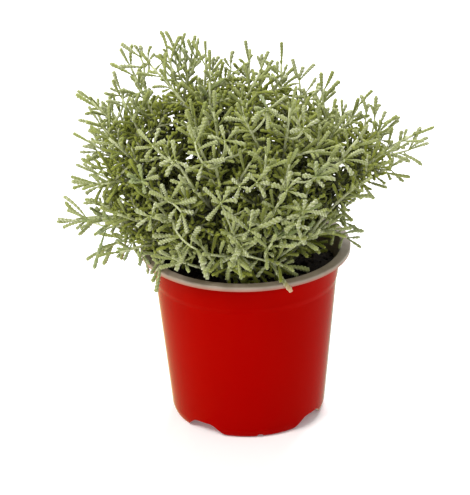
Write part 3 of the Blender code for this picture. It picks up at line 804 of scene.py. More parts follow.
# %% Crown
STEMS = 30
CROWN_RADII = np.array((0.106, 0.098, 0.146))
CROWN_CENTRE = np.array((0.0, 0.0, SOIL_TOP))
CROWN_LOBES = (
    (180, 60, 0.026, 20),
    (180, 36, 0.018, 22),
    (2, 40, 0.020, 15),
    (-90, 32, 0.004, 30),
)
LONG_SHOOTS = (
    (188, 20, 0.1235),
    (2, 38, 0.1435),
    (-6, 36, 0.124),
    (12, 53, 0.132),
    (172, 62, 0.157),
    (150, 73, 0.149),
    (-70, 21, 0.080),
    (-112, 19, 0.062),
    (-35, 30, 0.088),
    (178, 41, 0.135),
)
LOWEST_RISE = 0.16
HIGHEST_RISE = 0.997
RISE_POWER = 0.85
FAN_TURN = 0.4
LONG_CLEAR = 12
SKIRT_ELEVATION = 21
SKIRT_TILT = 15
SKIRT_AZIMUTH = -25
SKIRT_REACH = 0.058
SKIRT_FADE = 8
GOLDEN_ANGLE = math.pi * (3 - math.sqrt(5))
UP = np.array((0.0, 0.0, 1.0))
print("crown:", [round(2000 * radius) for radius in CROWN_RADII[:2]], "mm wide before its lobes")

# %% Directions and reach


def unit(vector):
    return vector / np.linalg.norm(vector)


def bearing(azimuth, elevation):
    """The direction at two angles in degrees, as a star's place is given."""
    a = math.radians(azimuth)
    e = math.radians(elevation)
    return np.array((math.cos(a) * math.cos(e), math.sin(a) * math.cos(e), math.sin(e)))


def skirt_share(direction, raised=0.0):
    """0 for directions under the crown's skirt, 1 above it. The skirt may be raised by degrees."""
    elevation = math.degrees(math.asin(min(1.0, direction[2])))
    azimuth = math.atan2(direction[1], direction[0])
    skirt = SKIRT_ELEVATION + SKIRT_TILT * math.cos(azimuth - math.radians(SKIRT_AZIMUTH))
    skirt = skirt + raised
    return max(0.0, min(1.0, 1 - (skirt - elevation) / SKIRT_FADE))


def crown_reach(direction):
    """How far the solids' dome reaches: an ellipsoid with lobes, drawn in under its skirt."""
    reach = 1 / np.linalg.norm(direction / CROWN_RADII)
    for azimuth, elevation, extra, width in CROWN_LOBES:
        cosine = float(direction @ bearing(azimuth, elevation))
        apart = math.degrees(math.acos(max(-1.0, min(1.0, cosine))))
        reach += extra * math.exp(-((apart / width) ** 2))
    return SKIRT_REACH + (reach - SKIRT_REACH) * skirt_share(direction)


def fan(spread):
    """Directions spread evenly over the crown, a little closer near the top."""
    for k in range(spread):
        share = (k + 0.5) / spread
        rise = LOWEST_RISE + (HIGHEST_RISE - LOWEST_RISE) * share ** RISE_POWER
        flat = math.sqrt(1 - rise * rise)
        azimuth = (k + 1) * GOLDEN_ANGLE + FAN_TURN
        yield np.array((math.cos(azimuth) * flat, math.sin(azimuth) * flat, rise))


def crown_directions():
    """Each stem's direction and reach: first the long shoots, then the even fan between them."""
    long_ones = [(bearing(azimuth, elevation), reach) for azimuth, elevation, reach in LONG_SHOOTS]
    wanted = STEMS - len(long_ones)
    closest = math.cos(math.radians(LONG_CLEAR))
    for spread in range(wanted, 2 * STEMS):
        others = []
        for direction in fan(spread):
            if max(float(direction @ taken) for taken, _ in long_ones) < closest:
                others.append((direction, crown_reach(direction)))
        if len(others) >= wanted:
            return long_ones + others[:wanted]


directions = crown_directions()
print("stems:", len(directions), "longest reach:", round(max(r for _, r in directions) * 1000), "mm")

# %% [markdown]
# ## Room to grow
#
# Leaves and stems push each other aside as they grow, so no two share a place. To copy that,
# everything grown is remembered as straight rods with a radius, and a new piece measures its
# distance to all of them at once with array arithmetic before it takes its place. Each rod
# carries the number of its stem and that of its shoot or leaf, so that a piece isn't held off
# by the very shoot that it grows from.

# %% Paths
ASKEW = (0.31, 0.94, 0.17)


def path_length(path):
    return float(np.linalg.norm(np.diff(path, axis=0), axis=1).sum())


def along(path, back):
    """The point and the direction at a distance back from a path's tip."""
    for k in range(len(path) - 1, 0, -1):
        piece = path[k] - path[k - 1]
        length = np.linalg.norm(piece)
        if back <= length or k == 1:
            return path[k] - piece / length * min(back, length), piece / length
        back -= length


def leaned(direction, lean, roll):
    """A direction tipped by an angle, towards a roll about itself."""
    side = unit(np.cross(direction, ASKEW))
    other = np.cross(direction, side)
    around = side * math.cos(roll) + other * math.sin(roll)
    return direction * math.cos(lean) + around * math.sin(lean)


def curve_through(start, control, end, pieces):
    """A row of points on the curve from start to end that bends towards its control point."""
    t = np.linspace(0, 1, pieces + 1)[:, None]
    return (1 - t) ** 2 * start + 2 * t * (1 - t) * control + t ** 2 * end


trial = curve_through(np.zeros(3), UP, UP * 2, 8)
print("a straight curve over 2 units measures", round(path_length(trial), 3))

# %% Rods and distances
SOIL_GAP = 0.002
CLOSE_BY = 0.026
PARALLEL = 1e-18
STEM_NUMBERS = 100
TWIG_NUMBERS = 1000
LEAF_NUMBERS = 50
LEAF_NUMBER_STEP = 9
NO_SHOOT = -1


def distances(start, end, starts, ends):
    """Least distance from one straight piece to each of many."""
    own = end - start
    theirs = ends - starts
    between = start - starts
    own_square = own @ own
    their_square = np.einsum("ij,ij->i", theirs, theirs)
    their_between = np.einsum("ij,ij->i", theirs, between)
    own_between = between @ own
    both = theirs @ own
    spread = own_square * their_square - both * both
    flat = spread < PARALLEL
    s = np.clip((both * their_between - own_between * their_square) / np.where(flat, 1, spread), 0, 1)
    s = np.where(flat, 0.0, s)
    t = np.clip((both * s + their_between) / their_square, 0, 1)
    s = np.clip((t * both - own_between) / own_square, 0, 1)
    gap = (start + s[:, None] * own) - (starts + t[:, None] * theirs)
    return np.linalg.norm(gap, axis=1)


class TakenSpace:
    """The straight pieces grown so far, as round rods with their stem and shoot numbers."""

    def __init__(self):
        self.starts = np.zeros((0, 3))
        self.ends = np.zeros((0, 3))
        self.radii = np.zeros(0)
        self.stems = np.zeros(0, int)
        self.shoots = np.zeros(0, int)
        self.middles = np.zeros((0, 3))

    def fill(self, path, radii, stem, shoot):
        pieces = len(path) - 1
        self.starts = np.vstack([self.starts, path[:-1]])
        self.ends = np.vstack([self.ends, path[1:]])
        self.radii = np.append(self.radii, np.maximum(radii[:-1], radii[1:]))
        self.stems = np.append(self.stems, np.full(pieces, stem))
        self.shoots = np.append(self.shoots, np.full(pieces, shoot))
        self.middles = np.vstack([self.middles, (path[:-1] + path[1:]) / 2])

    def near_room(self, start, end, radius, shoot):
        """Least gap to all pieces of other shoots close by, which is quicker than room."""
        close = np.abs(self.middles - (start + end) / 2).max(axis=1) < CLOSE_BY
        close &= self.shoots != shoot
        if not close.any():
            return CLOSE_BY
        free = distances(start, end, self.starts[close], self.ends[close])
        return float((free - self.radii[close]).min()) - radius

    def room(self, start, end, radius, stem, shoot):
        """Least gap to the other stems, and to this stem's own other shoots and leaves."""
        if not len(self.starts):
            return 1.0, 1.0
        free = distances(start, end, self.starts, self.ends) - self.radii - radius
        others = free[self.stems != stem]
        own = free[(self.stems == stem) & (self.shoots != shoot)]
        return float(others.min(initial=1.0)), float(own.min(initial=1.0))


def pot_room(points, radius):
    """Least gap from a row of points to the pot's rim and to the soil."""
    across = np.hypot(points[:, 0], points[:, 1])
    heights = points[:, 2]
    rim_inside = STEP_RADIUS - WALL
    beside = np.maximum(np.maximum(rim_inside - across, across - RIM_RADIUS), 0)
    above = np.maximum(heights - POT_HEIGHT, 0)
    rim = np.hypot(beside, above)
    soil = np.where(across < rim_inside, heights - (SOIL_TOP + SOIL_GAP), 1.0)
    return float(min(rim.min(), soil.min())) - radius


apart = distances(np.zeros(3), UP, np.array([[1.0, 0, 0]]), np.array([[1.0, 1, 0]]))
print("two rods a unit apart measure", round(float(apart[0]), 3))

# %% [markdown]
# ## Stems and side shoots
#
# A stem rises from the soil, bends outward and ends under the surface of the dome. Where it would
# touch another one it tries a little more sway. Side shoots leave it part of the way up and lean
# apart by the golden angle. Both are curves with one control point, which is all the bend that a
# young shoot shows.

# %% Stems
STEM_RADII = (0.0012, 0.0012, 0.0015, 0.0018, 0.0018, 0.0009)
FAN_REACH = (0.95, 1.02)
STEM_LIFTS = (0.26, 0.36)
STEM_FLAT_LIFT = 0.26
STEM_OUT = 0.16
STEM_SWAYS = (0.0, 0.08, -0.08, 0.16, -0.16, 0.24)
STEM_GAP = 0.0015
STEM_PIECES = 5
TIP_MARGIN = 0.013
ROOT_CIRCLE = 0.030
ROOT_SPACING = 0.0052
ROOT_CIRCLES = (1.0, 0.8, 1.15, 0.6)
ROOT_TURNS = (0.0, 0.25, -0.25, 0.5, -0.5, 0.75)
ROOT_POWER = 0.8


def free_root(direction, taken):
    """A place on the soil under a stem's direction, away from the other stems' roots."""
    flat = math.hypot(direction[0], direction[1])
    azimuth = math.atan2(direction[1], direction[0])
    best = None
    for circle in ROOT_CIRCLES:
        for turn in ROOT_TURNS:
            angle = azimuth + turn
            radius = ROOT_CIRCLE * flat ** ROOT_POWER * circle
            root = CROWN_CENTRE + np.array((math.cos(angle), math.sin(angle), 0)) * radius
            room = min((float(np.linalg.norm(root - other)) for other in taken), default=1.0)
            if best is None or room > best[0]:
                best = (room, root)
            if room >= ROOT_SPACING:
                return root
    return best[1]


def grow_stem(number, direction, reach, root, space):
    """The start, control and end of a stem's curve, the first that finds room."""
    flat = math.hypot(direction[0], direction[1])
    out = unit(np.array((direction[0], direction[1], 0.0)))
    side = np.cross(UP, out)
    tip = CROWN_CENTRE + direction * (reach - TIP_MARGIN)
    length = float(np.linalg.norm(tip - root))
    best = None
    for lift in STEM_LIFTS:
        for sway in STEM_SWAYS:
            rise = lift + STEM_FLAT_LIFT * flat
            control = root + (UP * rise + out * STEM_OUT + side * sway) * length
            path = curve_through(root, control, tip, STEM_PIECES)
            room = pot_room(path[2:], max(STEM_RADII))
            for k in range(STEM_PIECES):
                room = min(room, space.room(path[k], path[k + 1], max(STEM_RADII), number, NO_SHOOT)[0])
            if best is None or room > best[0]:
                best = (room, (root, control, tip))
            if room > STEM_GAP:
                return root, control, tip
    return best[1]


print("a stem's curve has", STEM_PIECES, "pieces in the solids and many more here")

# %% Side shoots
SHOOT_RADII = (0.0010, 0.0018, 0.0009)
SHOOT_PIECES = 2
SIDE_SHOOTS = (3, 4)
SIDE_LEAN = 12
INNER_LEAN = 20
INNER_SHARE = 0.62
INNER_REACH = 0.055
INNER_START = 0.76
FIRST_START = 0.60
NEXT_START = 0.09
START_SPREAD = 0.04
SHOOT_TRIES = 10
SHOOT_ALONG = 0.34
SHOOT_AWAY = 0.20
SHOOT_REACH = (0.86, 1.0)
LONG_SHARE = 0.92
LEAST_RISE = 0.08
LOW_RISE = 0.25
LOW_SHOOTS = 2
TOP_RISE = 0.93
LEAF_GAP = 0.0005
RISING_POWER = 1.5
STEM_TURN = 1.7
TRY_TURN = 0.35
TURN_SPREAD = 0.2
LEAN_SPREAD = (0.85, 1.25)


def shoots_wanted(stem):
    """How many side shoots a stem gets: more the steeper it stands."""
    rise = stem["direction"][2]
    fewest, most = SIDE_SHOOTS
    if rise < LOW_RISE and not stem["long"]:
        return LOW_SHOOTS
    return round(fewest + (most - fewest) * rise ** RISING_POWER)


def grow_side_shoot(stem, number, turn, inner, space, draw):
    """The curve of a shoot that leaves its stem part of the way up, or None without room."""
    path = stem["path"]
    for attempt in range(SHOOT_TRIES):
        share = INNER_START if inner else FIRST_START - NEXT_START * turn
        share = share + draw.uniform(-START_SPREAD, START_SPREAD)
        start, tangent = along(path, share * path_length(path))
        roll = turn * GOLDEN_ANGLE + number * STEM_TURN + attempt * TRY_TURN
        roll = roll + draw.uniform(-TURN_SPREAD, TURN_SPREAD)
        lean = math.radians(INNER_LEAN if inner else SIDE_LEAN) * draw.uniform(*LEAN_SPREAD)
        direction = leaned(stem["direction"], lean, roll)
        if direction[2] < LEAST_RISE:
            continue
        reach = crown_reach(direction)
        if inner:
            reach = max(INNER_REACH, reach * INNER_SHARE)
        elif stem["long"]:
            reach = max(reach, stem["reach"] * LONG_SHARE * skirt_share(direction))
        reach = reach * draw.uniform(*SHOOT_REACH) - TIP_MARGIN
        tip = CROWN_CENTRE + direction * reach
        straight = float(np.linalg.norm(tip - start))
        away = unit(tip - start - tangent * float((tip - start) @ tangent))
        control = start + (tangent * SHOOT_ALONG + away * SHOOT_AWAY) * straight
        shoot = curve_through(start, control, tip, SHOOT_PIECES)
        if pot_room(shoot[1:], max(SHOOT_RADII)) < LEAF_GAP:
            continue
        room = 1.0
        for k in range(SHOOT_PIECES):
            last = k == SHOOT_PIECES - 1
            others, own = space.room(shoot[k], shoot[k + 1], max(SHOOT_RADII), number, NO_SHOOT)
            room = min(room, others, own if last else 1.0)
        if room > LEAF_GAP:
            return start, control, tip
    return None


print("side shoots a stem:", LOW_SHOOTS, "to", SIDE_SHOOTS[1])

# %% [markdown]
# ## Leaves of the solids
#
# The leaves sit a golden angle round from each other, crowded at each tip, where they open like a
# star. A leaf that would cross something turns on a little, or stays out. Each leaf remembers the
# shoot that it grows from and how far below the tip, so that its finer copy can find its root.

# %% Leaves
LEAF_LENGTH = 0.0165
LEAF_WIDEST = 0.0018
LEAF_SPACING = 0.0050
STEM_LEAVES = 6
SHOOT_LEAVES = 5
LEAF_TRIES = 8
TIP_BACK = 0.0015
LEAVED_SHARE = 0.85
TIP_LEAN = 8
FIRST_LEAN = 28
NEXT_LEAN = 6
MOST_LEAN = 52
SIZE_RANGE = (0.85, 1.15)
YOUNG_SIZE = 0.85
TIGHT_SIZE = 0.8
FREE_SHARE = 0.28
OWN_GAP = LEAF_GAP / 5
ROD_POINTS = 5
SPACING_SPREAD = 0.4
LEAF_TRY_TURN = 0.6
SEED = 7


def grow_leaf(path, back, lean, roll, length, stem, shoot, space):
    """A leaf as its root and tip, or None where it would cross something."""
    root, tangent = along(path, back)
    axis = leaned(tangent, lean, roll)
    tip = root + axis * length
    rod = root + np.linspace(FREE_SHARE, 1, ROD_POINTS)[:, None] * (tip - root)
    if pot_room(rod, LEAF_WIDEST) < LEAF_GAP:
        return None
    others = space.room(root, tip, LEAF_WIDEST, stem, shoot)[0]
    own = space.room(root + axis * length * FREE_SHARE, tip, LEAF_WIDEST, stem, shoot)[1]
    if others > LEAF_GAP and own > OWN_GAP:
        return root, tip
    return None


def grow_leaves(stem, number, space, draw):
    """Leaves up each shoot, each a golden angle round from the last, crowded at the tip."""
    for order, path in enumerate([stem["path"]] + stem["shoots"]):
        count = SHOOT_LEAVES if order else STEM_LEAVES
        shoot = number * STEM_NUMBERS + order
        phase = draw.uniform(0, 2 * math.pi)
        for k in range(count):
            back = TIP_BACK + max(0, k - 1) * LEAF_SPACING
            if k:
                back = back + draw.uniform(0, LEAF_SPACING * SPACING_SPREAD)
            if back > path_length(path) * LEAVED_SHARE:
                break
            lean = min(FIRST_LEAN + NEXT_LEAN * k, MOST_LEAN) if k else TIP_LEAN
            lean = math.radians(lean) * draw.uniform(*SIZE_RANGE)
            length = LEAF_LENGTH * (YOUNG_SIZE if k < 2 else 1.0) * draw.uniform(*SIZE_RANGE)
            for attempt in range(LEAF_TRIES):
                roll = phase + k * GOLDEN_ANGLE + attempt * LEAF_TRY_TURN
                size = length * (TIGHT_SIZE if attempt > LEAF_TRIES // 2 else 1.0)
                leaf = grow_leaf(path, back, lean, roll, size, number, shoot, space)
                if leaf:
                    root, tip = leaf
                    stem["leaves"].append((order, back, tip))
                    free = np.array((root + (tip - root) * FREE_SHARE, tip))
                    own_number = shoot + LEAF_NUMBERS + k + order * LEAF_NUMBER_STEP
                    space.fill(free, np.full(2, LEAF_WIDEST), number, own_number)
                    break


print("leaves a shoot:", SHOOT_LEAVES, "and at a stem's tip:", STEM_LEAVES)

# %% [markdown]
# ## Growing the plant
#
# The order matters, because whatever grows later makes way for what is there. First come all the
# stems, then their side shoots in turns, one for each stem at a time, and then the leaves. A
# random number generator with a fixed seed gives the same plant every time.

# %% Grow the plant


def grow_plant(space):
    """Every stem with its curve, its side shoots and its leaves, from the one seed."""
    draw = random.Random(SEED)
    stems = []
    roots = []
    for number, (direction, reach) in enumerate(directions):
        long_one = number < len(LONG_SHOOTS)
        if not long_one:
            reach = reach * draw.uniform(*FAN_REACH)
        root = free_root(direction, roots)
        roots.append(root)
        curve = grow_stem(number, direction, reach, root, space)
        path = curve_through(*curve, STEM_PIECES)
        space.fill(path, np.array(STEM_RADII), number, number * STEM_NUMBERS)
        stems.append({
            "direction": direction,
            "reach": reach,
            "long": long_one,
            "path": path,
            "curves": [curve],
            "shoots": [],
            "leaves": [],
        })
    for turn in range(SIDE_SHOOTS[1] + 1):
        inner = turn == SIDE_SHOOTS[1]
        for number, stem in enumerate(stems):
            if inner and stem["direction"][2] > TOP_RISE:
                continue
            if turn >= shoots_wanted(stem) and not inner:
                continue
            curve = grow_side_shoot(stem, number, turn, inner, space, draw)
            if curve is not None:
                shoot = curve_through(*curve, SHOOT_PIECES)
                stem["curves"].append(curve)
                stem["shoots"].append(shoot)
                order = len(stem["shoots"])
                space.fill(shoot, np.array(SHOOT_RADII), number, number * STEM_NUMBERS + order)
    for number, stem in enumerate(stems):
        grow_leaves(stem, number, space, draw)
    return stems


space = TakenSpace()
stems = grow_plant(space)
print("shoots:", sum(len(s["shoots"]) for s in stems), "leaves:", sum(len(s["leaves"]) for s in stems))

# %% [markdown]
# ## Do both agree?
#
# The finer stems only keep the solids' form if the rule gives the same places. So the height of
# each stem's highest leaf tip is compared with the top of its solid's box, which the frame
# measures.

# %% Compare with the solids
worst = 0.0
for number, stem in enumerate(stems):
    low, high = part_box(f"stem_{number + 1:02d}")
    tips = np.array([tip for order, back, tip in stem["leaves"]])
    worst = max(worst, abs(float(tips[:, 2].max()) - high.z))
print("largest difference in height between a stem and its solid:", round(worst * 1000, 2), "mm")

# %% [markdown]
# ## Where the crown is thin
#
# A real crown isn't an even dome. It has deep gaps where one looks in between two shoots, it is
# thin low down, and bare soil shows inside the rim. Three things say so here: a list of gaps, a
# slow noise over all directions that opens more of them, and a skirt raised above the solids'
# own. Nothing that fills the crown may end in such a place. How far the dense part reaches is a
# short table: an angle as seen from the front, and a distance.

# %% Thin places
GAPS = (
    (-106, 40, 3.2),
    (-104, 32, 3.7),
    (-119, 54, 2.5),
    (-132, 56, 1.8),
    (-114, 40, 2.8),
    (-85, 45, 2.1),
    (-79, 54, 2.3),
    (-81, 51, 1.7),
    (-70, 51, 2.3),
    (-54, 45, 2.1),
    (-87, 60, 2.5),
    (-51, 71, 2.6),
    (-75, 43, 1.8),
    (-48, 57, 2.3),
    (-37, 46, 2.2),
    (-72, 33, 2.3),
    (-62, 31, 3.3),
    (-131, 33, 2.0),
    (-147, 30, 2.0),
    (-156, 61, 1.7),
)
GAP_DEPTH = 0.016
GAP_NOISE = 8.0
GAP_NOISE_LEVEL = 0.41
TRIED_UNDER = 0.01
TRIED_PLACES = 600
print("gaps by name:", len(GAPS), "the widest", 2 * max(width for *_, width in GAPS), "degrees")

# %% The filled crown
FILL_SECTION = (
    (0, 0.064), (20, 0.064), (30, 0.067), (33, 0.075), (35.5, 0.112), (37, 0.118),
    (44, 0.121), (49, 0.123), (52, 0.117), (55, 0.111), (60, 0.110), (65, 0.111),
    (69, 0.117), (74, 0.122), (90, 0.124), (105, 0.129), (113, 0.131), (119, 0.126),
    (124, 0.130), (130, 0.131), (134, 0.128), (138, 0.123), (142, 0.114), (147, 0.110),
    (152, 0.100), (156, 0.091), (160, 0.082), (164, 0.073), (180, 0.066),
)
FILL_HALF_DEPTH = 0.079
FILL_SKIRT_REACH = 0.046
SKIRT_RAISE = 9.0
LEFT_RAISE = 6.0
LEAST_FLAT = 0.01


def fill_reach(direction):
    """How far the dense part reaches: a section seen from the front, rounded off in depth."""
    angle = math.degrees(math.atan2(direction[2], direction[0]))
    section = float(np.interp(angle, *zip(*FILL_SECTION)))
    across = math.hypot(direction[0], direction[2])
    reach = 1 / math.hypot(across / section, direction[1] / FILL_HALF_DEPTH)
    flat = math.hypot(direction[0], direction[1])
    left = max(0.0, -direction[0] / max(flat, LEAST_FLAT))
    raised = SKIRT_RAISE * abs(direction[1]) / max(flat, LEAST_FLAT) + LEFT_RAISE * left
    share = skirt_share(direction, raised)
    return FILL_SKIRT_REACH + (max(reach, FILL_SKIRT_REACH) - FILL_SKIRT_REACH) * share


def under_fill(point):
    """How far a point lies under the surface of the filled crown."""
    reach = point - CROWN_CENTRE
    distance = float(np.linalg.norm(reach))
    return fill_reach(reach / distance) - distance


def in_gap(point):
    """Whether a point lies in the upper part of a gap."""
    direction = unit(point - CROWN_CENTRE)
    if under_fill(point) > GAP_DEPTH:
        return False
    for azimuth, elevation, width in GAPS:
        if float(direction @ bearing(azimuth, elevation)) > math.cos(math.radians(width)):
            return True
    return noise.noise(Vector(direction) * GAP_NOISE) > GAP_NOISE_LEVEL


tried = [CROWN_CENTRE + way * (fill_reach(way) - TRIED_UNDER) for way in fan(TRIED_PLACES)]
in_gaps = sum(in_gap(place) for place in tried) / TRIED_PLACES
print("share of the crown's surface in gaps:", round(in_gaps, 2))

# %% [markdown]
# ## Where a twig may leave
#
# The solids hold the leading shoots and a few of the leaves. The living plant is far denser,
# because a twig grows wherever there is light. So a place in the crown that has no shoot tip near
# it asks all stems for the nearest point that it could be reached from with an easy bend. Every
# point along every axis is kept in one array for that, with its direction and its stem's number.

# %% Hosts
FREE_TIP = 0.006
TWIG_LENGTHS = (0.010, 0.046)
TWIG_TURN = 0.25
TWIG_HOSTS = 6
HOST_STEP = 3
TURN_COST = 1.7
UNABLE = 9.0
STEM_FINE_PIECES = 14


class Hosts:
    """Points along all axes grown so far, with their directions, where a twig may leave."""

    def __init__(self):
        self.points = np.zeros((0, 3))
        self.tangents = np.zeros((0, 3))
        self.numbers = np.zeros(0, int)
        self.tips = np.zeros((0, 3))

    def take(self, path, number):
        steps = np.diff(path, axis=0)
        lengths = np.linalg.norm(steps, axis=1)
        left = lengths.sum() - np.cumsum(lengths)
        keep = left > FREE_TIP
        self.points = np.vstack([self.points, path[1:][keep]])
        self.tangents = np.vstack([self.tangents, (steps / lengths[:, None])[keep]])
        self.numbers = np.append(self.numbers, np.full(keep.sum(), number))
        self.tips = np.vstack([self.tips, path[-1]])

    def offers(self, place):
        """The host points that a place can be reached from, the easiest first."""
        ways = place - self.points
        lengths = np.linalg.norm(ways, axis=1)
        straight = np.einsum("ij,ij->i", ways, self.tangents) / lengths
        shortest, longest = TWIG_LENGTHS
        able = (lengths > shortest) & (lengths < longest) & (straight > TWIG_TURN)
        cost = np.where(able, lengths * (TURN_COST - straight), UNABLE)
        best = np.argsort(cost)[:TWIG_HOSTS * HOST_STEP:HOST_STEP]
        return [k for k in best if able[k]]


hosts = Hosts()
for number, stem in enumerate(stems):
    stem["fine"] = [curve_through(*curve, STEM_FINE_PIECES) for curve in stem["curves"]]
    stem["kinds"] = ["shoot"] * len(stem["fine"])
    for path in stem["fine"]:
        hosts.take(path, number)
print("points where a twig may leave:", len(hosts.points))

# %% [markdown]
# ## A twig
#
# A twig sets out a little in its stem's direction, sags under its own weight and then turns to the
# light, so its curve is pulled along the stem, down, and a random way aside. The easiest host is
# tried first. A twig may press on what is there by a little, but it doesn't go through.

# %% Twigs
TWIG_AHEAD = 0.30
TWIG_ALONG = 0.22
TWIG_SWAY = 0.10
TWIG_SAG = 0.10
TWIG_RADIUS = 0.0008
TWIG_GAP = -0.0008
TWIG_RODS = 4
TWIG_PIECES = 6
LEAF_THICK = 0.0011


def grow_twig(place, hosts, space, draw):
    """The number of the stem and the curve of a twig that ends at a place, or None."""
    for k in hosts.offers(place):
        start = hosts.points[k]
        way = place - start
        length = float(np.linalg.norm(way))
        sway = leaned(way / length, math.pi / 2, draw.uniform(0, 2 * math.pi)) * TWIG_SWAY
        pull = hosts.tangents[k] * TWIG_ALONG + sway - UP * TWIG_SAG
        control = start + way * TWIG_AHEAD + pull * length
        path = curve_through(start, control, place, TWIG_RODS)
        if pot_room(path[1:], TWIG_RADIUS) < LEAF_GAP:
            continue
        outer = (TWIG_RODS - 2, TWIG_RODS - 1)
        if min(space.near_room(path[j], path[j + 1], TWIG_RADIUS, NO_SHOOT) for j in outer) > TWIG_GAP:
            return int(hosts.numbers[k]), (start, control, place)
    return None


def add_twig(number, curve, kind, hosts, space):
    """Puts a twig on its stem. Its kind says which leaves it will get."""
    path = curve_through(*curve, TWIG_PIECES)
    stems[number]["fine"].append(path)
    stems[number]["kinds"].append(kind)
    hosts.take(path, number)
    shoot = number * TWIG_NUMBERS + len(stems[number]["fine"])
    space.fill(curve_through(*curve, 3), np.full(4, TWIG_RADIUS), number, shoot)


print("twigs are", TWIG_LENGTHS[0] * 1000, "to", TWIG_LENGTHS[1] * 1000, "mm long")

# %% [markdown]
# ## Shoots by name
#
# Some shoots are one of a kind: the pale stars at the front, seen end on, the clubs over the soil,
# a leaf that hangs over the rim, and the tips that make the outline. No rule gives those, so each
# is written down in millimetres as one row: the bend and the tip of its shoot, and then, for each
# leaf, its distance down from the tip and the place where it ends. A shoot starts from the grown
# axis that lies nearest.

